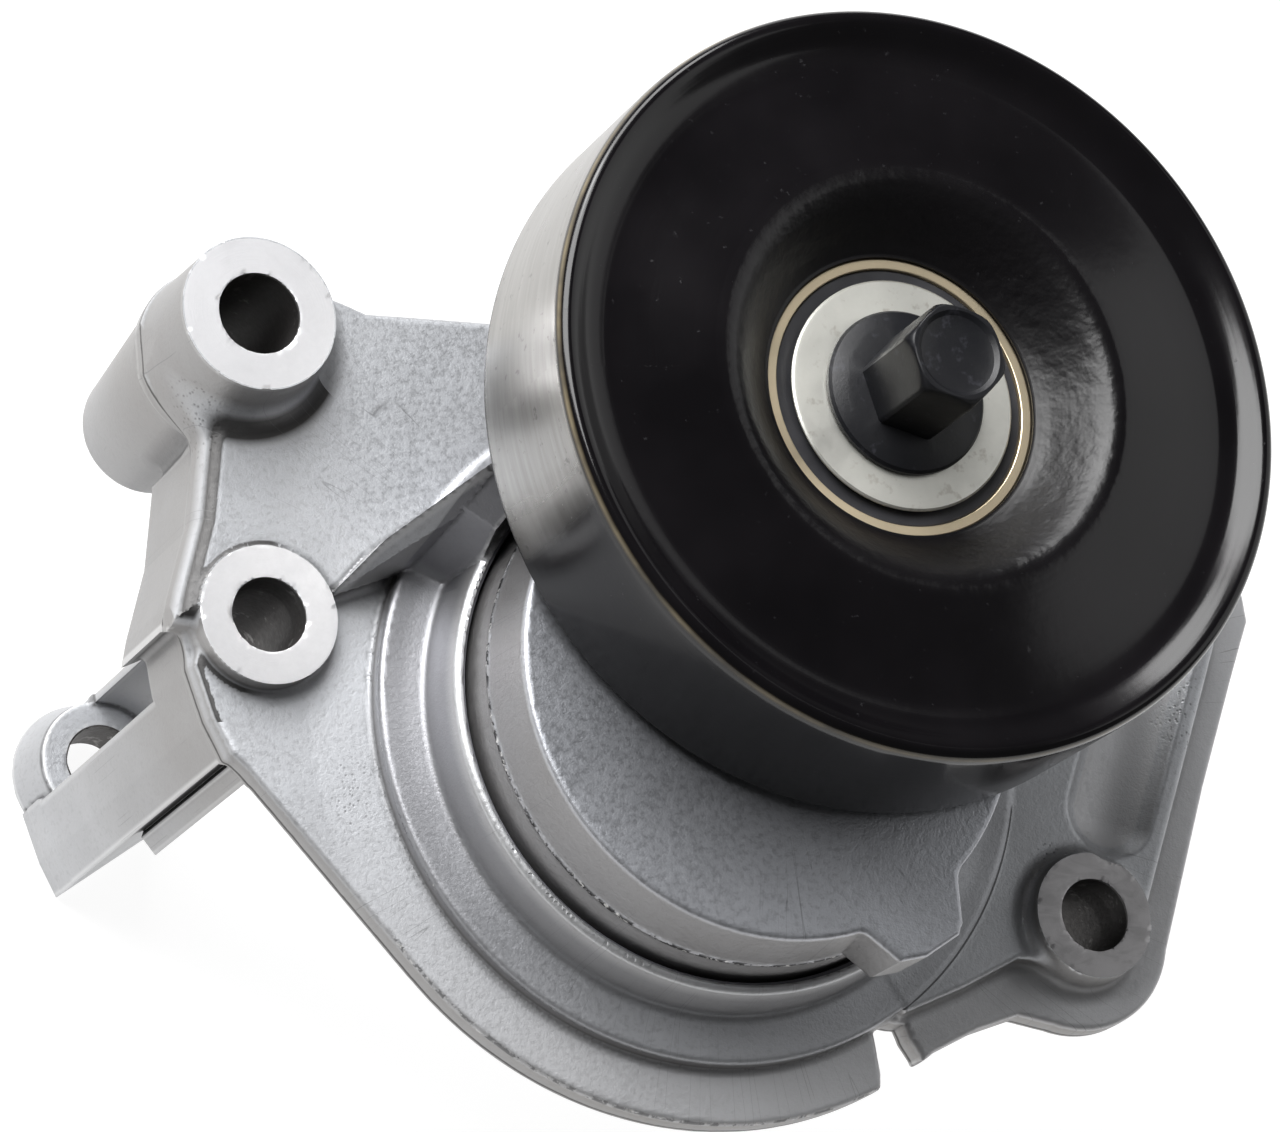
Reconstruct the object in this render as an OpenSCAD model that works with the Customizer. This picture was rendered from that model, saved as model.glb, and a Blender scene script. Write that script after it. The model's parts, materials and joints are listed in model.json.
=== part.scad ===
// Spring belt tensioner with a flat idler pulley on a die-cast mounting bracket.
// Frame: origin on the axis of the long bolt hole, at the rear pad that meets the engine.
// +Z runs forward along the bolt, pivot and pulley axes, which are all parallel.

/* [Pulley] */
// Outside radius of the smooth belt face
pulley_r = 53; // [51:0.5:54]
// Width of the belt face
pulley_w = 26.5; // [25:0.5:27]
// Wall of the pressed steel pulley
pulley_t = 2.6; // [2.2:0.1:3]

/* [Arm] */
// Distance between the pivot axis and the pulley axis
arm_len = 36; // [34:0.5:37]
// Direction of the pulley axis from the pivot, in degrees from +X
arm_dir = 68.3; // [66:0.5:70]
// Radius of the arm's round cap at its top edge
arm_r = 36.4; // [36:0.1:36.8]

/* [Bearing] */
// Bore radius of the ball bearing
brg_bore_r = 8.5; // [8.4:0.1:8.6]
// Width of the ball bearing
brg_w = 12; // [11.5:0.5:12]
// Number of balls
ball_n = 8; // [6:1:8]

/* [Spring] */
// Radius of the spring wire
wire_r = 2.7; // [2:0.1:3]
// Mean radius of the spring coil
coil_r = 25; // [22:0.5:28]
// Turns of the spring
turns = 4.5; // [3:0.5:5]

/* [Bracket] */
// Radius of the mounting bolt holes
bolt_hole_r = 5.25; // [5:0.05:5.5]
// Radius of the hole in the long upper boss
hole_a_r = 5.75; // [5.25:0.05:6]
// Height of the plate's front face above the rear pad
plate_z = 81.5; // [81:0.5:82]
// Radius of the round flange about the pivot
flange_r = 55.8; // [54:0.2:57]

/* [Hidden] */
$fn = 96;
e = 0.01;
// pivot axis in the part frame
piv = [62.7, -14.1];
// pulley axis in the pivot frame
pax = arm_len * [cos(arm_dir), sin(arm_dir)];
// mounting bosses in the pivot frame
boss_a = [-64.1, 53.7];
boss_b = [-62.7, 14.1];
boss_c = [56.3, -27.7];
boss_d = [76, 26.5];
part_z = 74;            // mould parting plane
flange_z = plate_z - 3; // front of the thin outer flange
cup_z = 55;             // rear of the spring cup
cup_in = 38.9;          // bore of the spring cup
collar_z = 89.5;        // top of the collar round the arm
wall_z = 101;           // top of the stop wall
front_z = 106.5 + pulley_w;
brg_z = 112.6;          // rear face of the bearing
brg_pr = 14.25;         // ball pitch radius
ball_r = 3.35;
brg_mid = brg_z + brg_w / 2;
brg_f = brg_z + brg_w;

al = [0.78, 0.79, 0.80];
steel = [0.55, 0.56, 0.58];
dark = [0.09, 0.09, 0.10];

module at_pivot() { translate([piv[0], piv[1], 0]) children(); }
module at_pulley() { at_pivot() translate([pax[0], pax[1], 0]) children(); }
module tube(ro, ri, z0, z1) {
    translate([0, 0, z0]) difference() {
        cylinder(r = ro, h = z1 - z0);
        translate([0, 0, -1]) cylinder(r = ri, h = z1 - z0 + 2);
    }
}
module slab(z0, z1) { translate([0, 0, z0]) linear_extrude(z1 - z0) children(); }
// sector of a ring between two angles
module sector2d(ri, ro, a0, a1) {
    n = max(2, ceil((a1 - a0) / 15));
    intersection() {
        difference() { circle(r = ro); circle(r = ri); }
        polygon(concat([[0, 0]], [for (i = [0:n]) let (a = a0 + (a1 - a0) * i / n) 1.6 * ro * [cos(a), sin(a)]]));
    }
}

// ---- bracket ----
// outline of the thin flange
module flange2d() {
    difference() {
        union() {
            circle(r = flange_r);
            polygon([[0, 0], [-44, -34.4], [-66.1, -6.4], [-68.3, -4.3], [-70.5, 0.8], [-72.4, 8], [-70, 18], [-58, 24]]);
            polygon([[0, 0], [27.4, -42], [28.1, -44.1], [29.4, -46.3], [31.6, -45.9], [39.2, -42.6], [45.7, -40.7],
                     [51, -42.0], [60, -42.4], [70, -34], [80.8, -6.8], [88, 9.7], [92.2, 18.5], [92.0, 22.5], [90, 27],
                     [85.5, 34], [78, 41], [60, 48.5], [46, 50.0], [30, 50.5], [10, 51.5], [-8, 53.5], [-22, 57.8], [-30, 57.8]]);
            translate(boss_c) circle(r = 15.2);
            translate(boss_b) circle(r = 9.8);
        }
        // notch beside the round flange
        polygon([[22.0, -60], [23.2, -48.6], [22.6, -43.1], [23.2, -42.3], [25, -41.7], [27.4, -42], [28.1, -44.1],
                 [29.4, -46.3], [34, -60]]);
    }
}
// outline of the raised front plate
module plate2d() {
    circle(r = 47.8);
    polygon([[0, 0], [26.5, -40.7], [36, -37.2], [45.1, -33.1], [50, -33.1], [58, -31], [66, -27.5], [67, -25.2],
             [83.7, 13.5], [84.6, 19], [83.5, 25], [79, 32], [71, 38.5], [58, 44.5], [45, 46.5], [29, 47.2], [9, 48.4], [-9, 51.0], [-23, 57.8], [-26, 57.8], [-44.7, 58.2], [-54, 62],
             [-68.8, 46], [-69.1, 40], [-71.2, 27.8], [-74.6, 17.5], [-75.6, 13.6], [-66, 12], [-54, 17.2], [-42.3, 21.6]]);
}
// walls that stiffen the plate from behind
module skirt2d() {
    difference() {
        union() {
            polygon([[-69.1, 40], [-71.2, 27.8], [-74.6, 17.5], [-75.6, 13.6], [-71, 15.5], [-67, 28], [-65, 40], [-62, 44]]);
            polygon([[-56, 60], [-44.7, 58.2], [-26, 57.8], [-23, 57.8], [-9, 51.0], [9, 48.4], [29, 47.2], [27, 43.5], [8, 44.6], [-10, 47.2], [-25, 53.8], [-56, 54]]);
            polygon([[-75.6, 13.6], [-74.6, 17.5], [-66, 25], [-58, 28], [-54, 20], [-63.5, 21.8], [-71, 15.5]]);
        }
    }
}
module ribs2d() {
    for (s = [[boss_a, 3], [boss_d, 3], [boss_c, 3], [[9.5, 54], 2.5], [[-40, 57], 2.5], [[-72, 26], 2.5]]) {
        p = s[0];
        a = atan2(p[1], p[0]);
        l = norm(p);
        rotate(a) translate([40, -s[1] / 2]) square([l - 40, s[1]]);
    }
}
module boss(p, z0, zm, z1, r0, rm, r1) {
    translate([p[0], p[1], z0]) cylinder(r1 = r0, r2 = rm, h = zm - z0);
    translate([p[0], p[1], zm]) cylinder(r1 = rm, r2 = r1, h = z1 - zm);
}
// outline of the long leg: a round column with a sharp lower corner
module leg2d() {
    translate(boss_b) circle(r = 10.5);
    polygon([[-68.3, -4.3], [-70.5, 0.8], [-72.6, 8.4], [-73.2, 14.1], [-60, 20], [-52.4, 16], [-53, 5.4]]);
}
module leg() {
    // tapered end pad
    translate([boss_b[0], boss_b[1], 0]) cylinder(r1 = 11, r2 = 9, h = 9);
    slab(0, 9) polygon([[-68.3, -4.3], [-70.5, 0.8], [-72.6, 8.25], [-62.7, 14.1], [-52.4, 16], [-53, 5.4]]);
    slab(60, part_z + 1) leg2d();
    // cored-out middle, open on its upper left side
    slab(8.9, 60.1) difference() {
        leg2d();
        translate(boss_b) circle(r = 8.9);
        polygon([boss_b, [-63.2, 23], [-63.7, 34], [-84, 34], [-84, 8.25], [-69.4, 8.25]]);
    }
    // rib beside the leg
    slab(34.5, part_z + 1) polygon([[-66.6, -4.4], [-64.8, -7.0], [-40, 12.2], [-42, 16], [-58, 4]]);
}
module base_bracket() color(al) at_pivot() difference() {
    union() {
        slab(part_z - 0.3, flange_z) flange2d();
        slab(76.3, plate_z) plate2d();
        slab(56.5, 77) skirt2d();
        slab(62, 77) ribs2d();
        // spring cup and its collar
        translate([0, 0, cup_z]) cylinder(r1 = 41.4, r2 = 42.6, h = plate_z - cup_z);
        translate([0, 0, plate_z]) cylinder(r1 = 41.7, r2 = 40.2, h = 6.8);
        translate([0, 0, plate_z + 6.8]) cylinder(r1 = 40.2, r2 = 39.7, h = collar_z - plate_z - 6.8);
        boss(boss_a, 42, part_z, 90.8, 9.5, 11.5, 10.96);
        boss(boss_b, 60, part_z, plate_z, 9.1, 9.9, 9.4);
        boss(boss_c, 58, part_z, 84.3, 9.4, 9.9, 9.07);
        boss(boss_d, 58, part_z, 84.3, 9.0, 9.5, 8.8);
        leg();
        difference() {
            slab(plate_z - 2, wall_z) sector2d(40.9, 47.8, 104.8, 152.4);
            // lead-in slope of the stop wall: steep first, then shallow
            rotate([0, 0, 152.4]) translate([0, 0, plate_z]) rotate([90, 0, 90])
                translate([0, 0, 30]) linear_extrude(30) polygon([[1, -0.01], [0, -0.01], [-4.8, 13.5], [-10.2, 19.6], [-10.2, 30], [1, 30]]);
        }
        // web from the stop wall down to the bolt boss
        difference() {
            hull() {
                slab(plate_z - 1, plate_z - 0.5) polygon([[-53.6, 16.9], [-42.6, 20.8], [-34.5, 27.5], [-37.4, 31.0], [-42.2, 27.8], [-47.8, 23.6]]);
                translate([-47.0, 22.5, 89.2]) cube([0.8, 0.8, 0.8], center = true);
                translate([-41.1, 26.8, 97.2]) cube([0.8, 0.8, 0.8], center = true);
                translate([-37.4, 29.6, 100.4]) cube([0.8, 0.8, 0.8], center = true);
            }
            translate([0, 0, 70]) cylinder(r = 47.0, h = 40);
        }
    }
    // spring cup, with a low pad round the shaft
    translate([0, 0, cup_z + 6]) cylinder(r = cup_in, h = 60);
    tube(cup_in, 14, cup_z + 4, cup_z + 6.5);
    // press-fit hole of the pivot shaft
    translate([0, 0, cup_z - 1]) cylinder(r = 8, h = 20);
    translate([boss_a[0], boss_a[1], 40]) cylinder(r = hole_a_r, h = 60);
    translate([boss_b[0], boss_b[1], -1]) cylinder(r = bolt_hole_r, h = 90);
    translate([boss_c[0], boss_c[1], 50]) cylinder(r = bolt_hole_r, h = 60);
    translate([boss_d[0], boss_d[1], 50]) cylinder(r = bolt_hole_r, h = 60);
    // scooped relief beside the lower right boss
    hull() {
        translate([62.2, -10.2, plate_z + 3.2]) rotate([0, 0, 66.6]) cube([8, 9, 0.2], center = true);
        translate([61.6, -12.0, plate_z - 2.4]) rotate([0, 0, 66.6]) cube([6, 5, 0.2], center = true);
        translate([74.0, 16.5, plate_z + 3.2]) rotate([0, 0, 66.6]) cube([8, 11, 0.2], center = true);
        translate([73.0, 16.5, plate_z - 2.4]) rotate([0, 0, 66.6]) cube([6, 6, 0.2], center = true);
    }
}

// ---- arm ----
module arm2d() {
    circle(r = arm_r - 0.6);
    translate(pax) circle(r = 17.5);
    rotate(arm_dir) polygon([[4, 35.2], [arm_len + 4, 16.9], [arm_len + 4, -16.9], [4, -35.2]]);
}
module tensioner_arm() color(al) at_pivot() difference() {
    union() {
        // round skirt that turns inside the collar
        translate([0, 0, 84]) cylinder(r1 = 38.1, r2 = 37.6, h = 7.5);
        translate([0, 0, 91.5]) cylinder(r1 = 37.6, r2 = arm_r, h = 12.0);
        translate([0, 0, 103.5]) cylinder(r1 = arm_r, r2 = arm_r - 1, h = 1);
        slab(94, 104.2) arm2d();
        // boss under the pulley
        translate([pax[0], pax[1], 104]) cylinder(r1 = 14.5, r2 = 11, h = 7.6);
        // ear on the free side
        slab(94.5, 103.8) polygon([[5, -30], [9.3, -35.0], [14.3, -39.4], [18.5, -38.7], [23.7, -35.5], [24.6, -33.8], [24.8, -25.0], [22, -22]]);
        // lug that rests on the stop wall
        slab(93, 104.2) sector2d(30, 46.5, 82, 104.3);
        translate([0, 0, 62]) cylinder(r = 13.5, h = 40);
        // tongue that drives the damper shoe
        slab(67, 86) sector2d(34.9, 38.1, -13.6, 13.6);
    }
    // hollow for the spring
    tube(34.4, 13.5, 80, 98.8);
    // bush bore
    translate([0, 0, 60]) cylinder(r = 10, h = 41);
    // counterbore of the shaft head
    translate([0, 0, 99.6]) cylinder(r = 13.4, h = 8);
    // thread of the pulley bolt
    translate([pax[0], pax[1], 96]) cylinder(r = 5, h = 20);
}

// ---- pivot ----
module pivot_shaft() color(steel) at_pivot() {
    translate([0, 0, 55.4]) cylinder(r1 = 7.4, r2 = 8, h = 0.6);
    translate([0, 0, 56]) cylinder(r = 8, h = 45);
    translate([0, 0, 101]) cylinder(r = 12.6, h = 2.0);
    translate([0, 0, 103]) cylinder(r1 = 12.6, r2 = 11.8, h = 0.7);
}
module pivot_bush() color([0.72, 0.55, 0.25]) at_pivot() tube(10, 8.06, 62.2, 99.4);
module thrust_washer_front() color([0.20, 0.18, 0.15]) at_pivot() tube(12.9, 8.06, 99.75, 101);
module thrust_washer_rear() color([0.20, 0.18, 0.15]) at_pivot() tube(13.2, 8.06, 61, 61.85);
module pivot_cap() color(dark) at_pivot() union() {
    translate([0, 0, 103.9]) cylinder(r = 13.4, h = 0.5);
    translate([0, 0, 104.4]) cylinder(r1 = 13.4, r2 = 12.6, h = 0.6);
}

// ---- spring and damper ----
function coil_pt(a, h) = [coil_r * cos(a), coil_r * sin(a), h];
module torsion_spring() color([0.16, 0.16, 0.17]) at_pivot() {
    steps = 24;
    n = floor(turns * steps);
    sides = 10;
    pitch = (98.5 - 62.3 - 2 * wire_r) / turns;
    z0 = 62.3 + wire_r;
    rings = [for (i = [0:n]) let (a = 360 * i / steps, h = z0 + pitch * i / steps)
             for (j = [0:sides - 1]) let (b = 360 * j / sides)
             [(coil_r + wire_r * cos(b)) * cos(a), (coil_r + wire_r * cos(b)) * sin(a), h + wire_r * sin(b)]];
    faces = concat(
        [[for (j = [0:sides - 1]) j]],
        [for (i = [0:n - 1], j = [0:sides - 1]) let (a = i * sides + j, b = i * sides + (j + 1) % sides) [a, a + sides, b + sides, b]],
        [[for (j = [sides - 1:-1:0]) n * sides + j]]);
    polyhedron(points = rings, faces = faces, convexity = 8);
}
module spring_sleeve() color([0.85, 0.84, 0.80]) at_pivot() tube(15.4, 13.5, 63, 83.5);
module spring_seat() color([0.12, 0.12, 0.12]) at_pivot() difference() {
    tube(34, 16, 59, 63.5);
    translate([0, 0, 62]) tube(coil_r + wire_r + 0.5, coil_r - wire_r - 0.5, 0, 3);
}
module damper_shoe() color([0.14, 0.13, 0.12]) at_pivot() slab(66, 82.5) sector2d(36.1, 38.6, 14.2, 345.8);
module damper_band() color(steel) at_pivot() slab(67, 81.5) sector2d(35, 36.1, 20, 340);
module dust_seal() color(dark) at_pivot() tube(cup_in, 38.4, 85.5, 88.6);

// ---- pulley ----
module pulley_wheel() color(dark) at_pulley() {
    r = pulley_r;
    z = front_z;
    t = pulley_t;
    lip = [for (i = [0:6]) let (a = 15 * i) [r - 2.4 + 2.4 * cos(a), z - 2.4 + 2.4 * sin(a)]];
    rotate_extrude($fn = 180) polygon(concat(
        [[r - 0.4, 106.5], [r, 106.9]],
        lip,
        [[r - 3.2, z - 0.05], [r - 4.4, z - 0.7], [r - 6.0, z - 1.9], [r - 7.6, z - 2.5], [r - 10, z - 2.35], [r - 15, z - 1.35],
         [r - 20, z - 0.2], [r - 22.6, z + 0.3], [r - 23.7, z + 0.4], [r - 24.8, z + 0.1], [r - 27, z - 1.9], [r - 30, z - 5.2],
         [r - 32.2, z - 7.3], [r - 32.6, z - 7.6], [19.75, z - 7.9], [19.75, brg_f], [20, brg_f], [20, brg_z - 0.2],
         [22.6, brg_z - 0.2], [22.6, z - 9.2], [25.2, z - 6.0], [28.4, z - 2.6], [29.4, z - 2.2], [r - 20, z - 0.2 - t], [r - 15, z - 1.35 - t],
         [r - 10, z - 2.4 - t], [r - 7.0, z - 2.6 - t], [r - 4.6, z - 3.6 - t], [r - t, z - 7.0 - t], [r - t, 106.9], [r - t + 0.4, 106.5]]));
}
module bearing_outer_ring() color([0.80, 0.76, 0.66]) at_pulley() rotate_extrude() difference() {
    polygon([[16.6, brg_z + 1.9], [18.3, brg_z + 1.9], [18.3, brg_z], [19.6, brg_z], [20, brg_z + 0.4], [20, brg_f - 0.4],
             [19.6, brg_f], [18.3, brg_f], [18.3, brg_f - 1.9], [16.6, brg_f - 1.9]]);
    translate([brg_pr, brg_mid]) circle(r = ball_r + 0.08);
}
module bearing_inner_ring() color([0.80, 0.80, 0.80]) at_pulley() rotate_extrude() difference() {
    polygon([[brg_bore_r, brg_z + 0.4], [brg_bore_r + 0.4, brg_z], [11.8, brg_z], [11.8, brg_f], [brg_bore_r + 0.4, brg_f], [brg_bore_r, brg_f - 0.4]]);
    translate([brg_pr, brg_mid]) circle(r = ball_r + 0.08);
}
module bearing_balls() color([0.85, 0.85, 0.86]) at_pulley()
    for (i = [0:ball_n - 1]) rotate([0, 0, 360 * i / ball_n]) translate([brg_pr, 0, brg_mid]) sphere(r = ball_r, $fn = 48);
module bearing_cage() color([0.70, 0.62, 0.42]) at_pulley() difference() {
    tube(15.2, 13.3, brg_mid - 4.2, brg_mid + 4.2);
    for (i = [0:ball_n - 1]) rotate([0, 0, 360 * i / ball_n]) translate([0, 0, brg_mid]) rotate([0, 90, 0]) cylinder(r = ball_r + 0.1, h = 20);
}
module bearing_seal_front() color(dark) at_pulley() union() {
    tube(18.3, 12.1, brg_f - 1.3, brg_f - 0.5);
    tube(18.3, 17.2, brg_f - 1.9, brg_f - 1.3);
}
module bearing_seal_rear() color(dark) at_pulley() union() {
    tube(18.3, 12.1, brg_z + 0.5, brg_z + 1.3);
    tube(18.3, 17.2, brg_z + 1.3, brg_z + 1.9);
}
module bearing_sleeve() color(steel) at_pulley() tube(brg_bore_r, 5.1, brg_z, brg_f);
module dust_shield_front() color([0.83, 0.82, 0.76]) at_pulley() rotate_extrude()
    polygon([[5.1, brg_f], [15.6, brg_f], [16.37, brg_f + 0.15], [16.37, brg_f + 0.6], [16.1, brg_f + 0.9], [5.1, brg_f + 0.9]]);
module dust_shield_rear() color([0.83, 0.82, 0.76]) at_pulley() tube(16, 5.1, brg_z - 1, brg_z);
module pulley_bolt() color(dark) at_pulley() {
    f = brg_f + 0.9;
    translate([0, 0, 97]) cylinder(r1 = 4.2, r2 = 5, h = 1);
    translate([0, 0, 98]) cylinder(r = 5, h = f - 98);
    translate([0, 0, f]) cylinder(r = 11.6, h = 1.2);
    translate([0, 0, f + 1.2]) cylinder(r1 = 11.6, r2 = 10.6, h = 0.9);
    rotate([0, 0, 43]) difference() {
        intersection() {
            translate([0, 0, f + 1]) cylinder(r = 7.5, h = 142.2 - f - 1, $fn = 6);
            translate([0, 0, f + 1]) cylinder(r1 = 22.2, r2 = 6.1, h = 142.2 - f - 1);
        }
        translate([0, 0, 142.2 - 0.7]) cylinder(r1 = 4.6, r2 = 5.2, h = 1);
    }
}

base_bracket();
tensioner_arm();
pivot_shaft();
pivot_bush();
thrust_washer_front();
thrust_washer_rear();
pivot_cap();
torsion_spring();
spring_sleeve();
spring_seat();
damper_shoe();
damper_band();
dust_seal();
pulley_wheel();
bearing_outer_ring();
bearing_inner_ring();
bearing_balls();
bearing_cage();
bearing_seal_front();
bearing_seal_rear();
bearing_sleeve();
dust_shield_front();
dust_shield_rear();
pulley_bolt();
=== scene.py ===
import math
import json
import numpy as np
import bpy
import bmesh
from mathutils import Vector, Matrix


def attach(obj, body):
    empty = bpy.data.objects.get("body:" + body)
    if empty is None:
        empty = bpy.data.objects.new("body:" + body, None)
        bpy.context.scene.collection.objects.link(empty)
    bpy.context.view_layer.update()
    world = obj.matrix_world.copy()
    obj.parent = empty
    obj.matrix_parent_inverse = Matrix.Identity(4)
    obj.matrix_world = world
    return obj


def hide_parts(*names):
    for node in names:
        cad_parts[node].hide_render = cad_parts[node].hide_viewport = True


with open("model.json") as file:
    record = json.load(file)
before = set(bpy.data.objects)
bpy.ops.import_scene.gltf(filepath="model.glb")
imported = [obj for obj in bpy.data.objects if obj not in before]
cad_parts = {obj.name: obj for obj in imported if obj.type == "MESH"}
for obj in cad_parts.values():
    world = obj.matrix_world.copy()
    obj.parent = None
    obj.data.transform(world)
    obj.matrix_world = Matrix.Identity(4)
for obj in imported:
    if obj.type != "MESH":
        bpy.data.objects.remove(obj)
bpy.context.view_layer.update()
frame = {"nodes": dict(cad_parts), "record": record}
nodes = frame["nodes"]
MM = 0.001

# joint axes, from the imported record: the castings are shaped round the pivot
joints = {j["name"]: j for j in frame["record"]["behaviour"]["joints"]}
PIV = [v / MM for v in joints["arm_swing"]["pos_m"][:2]]
PUL = [v / MM for v in joints["pulley_spin"]["pos_m"][:2]]
PX = (PUL[0] - PIV[0], PUL[1] - PIV[1])

# ------------------------------------------------------------------ distance fields (mm, about the pivot)
F = np.float32


def smin(a, b, k):
    h = np.maximum(k - np.abs(a - b), 0.0)
    return np.minimum(a, b) - h * h / (4.0 * k)


def smax(a, b, k):
    return -smin(-a, -b, k)


def poly(x, y, pts):
    """Signed distance to a polygon, negative inside."""
    n = len(pts)
    d = np.full(x.shape, 1e9, dtype=F)
    inside = np.zeros(x.shape, dtype=bool)
    for i in range(n):
        ax, ay = pts[i]
        bx, by = pts[(i + 1) % n]
        ex, ey = bx - ax, by - ay
        wx, wy = x - ax, y - ay
        t = np.clip((wx * ex + wy * ey) / (ex * ex + ey * ey), 0.0, 1.0)
        dx, dy = wx - ex * t, wy - ey * t
        d = np.minimum(d, dx * dx + dy * dy)
        if ay != by:
            c = ((ay <= y) & (y < by)) | ((by <= y) & (y < ay))
            inside ^= c & (x < ax + ex * (y - ay) / ey)
    d = np.sqrt(d)
    return np.where(inside, -d, d)


def disc(x, y, c, r):
    return np.hypot(x - c[0], y - c[1]) - r


def rounded(d2, z, z0, z1, r):
    """A prism of outline d2 from z0 to z1 with edges rounded by r."""
    dz = np.maximum(z0 - z, z - z1)
    a, b = d2 + r, dz + r
    return np.hypot(np.maximum(a, 0), np.maximum(b, 0)) - r + np.minimum(np.maximum(a, b), 0)


def cone(x, y, z, c, z0, r0, z1, r1, e):
    """A truncated cone with its rim edges rounded by e."""
    t = np.clip((z - z0) / (z1 - z0), 0, 1)
    return rounded(np.hypot(x - c[0], y - c[1]) - (r0 + (r1 - r0) * t), z, z0, z1, e)


def sector(x, y, ri, ro, a0, a1):
    """Part of a ring between two angles, in degrees."""
    r = np.hypot(x, y)
    m = math.radians((a0 + a1) / 2)
    h = math.radians((a1 - a0) / 2)
    a = np.arctan2(y, x) - m
    a = (a + math.pi) % (2 * math.pi) - math.pi
    da = (np.abs(a) - h) * np.maximum(r, 1.0)
    return np.maximum(np.maximum(ri - r, r - ro), da)


def hull_planes(x, y, z, planes):
    d = None
    for nx, ny, nz, o in planes:
        v = nx * x + ny * y + nz * z - o
        d = v if d is None else np.maximum(d, v)
    return d


def hull_of(points):
    """The planes of the convex hull of a few points."""
    p = np.array(points, dtype=float)
    n = len(p)
    out = []
    for i in range(n):
        for j in range(i + 1, n):
            for k in range(j + 1, n):
                v = np.cross(p[j] - p[i], p[k] - p[i])
                l = np.linalg.norm(v)
                if l < 1e-6:
                    continue
                v = v / l
                for w in (v, -v):
                    o = float(w @ p[i])
                    if np.all(p @ w - o < 1e-6) and not any(abs(w @ np.array(q[:3]) - 1) < 1e-6 and abs(q[3] - o) < 1e-6 for q in out):
                        out.append((float(w[0]), float(w[1]), float(w[2]), o))
    return out


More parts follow.
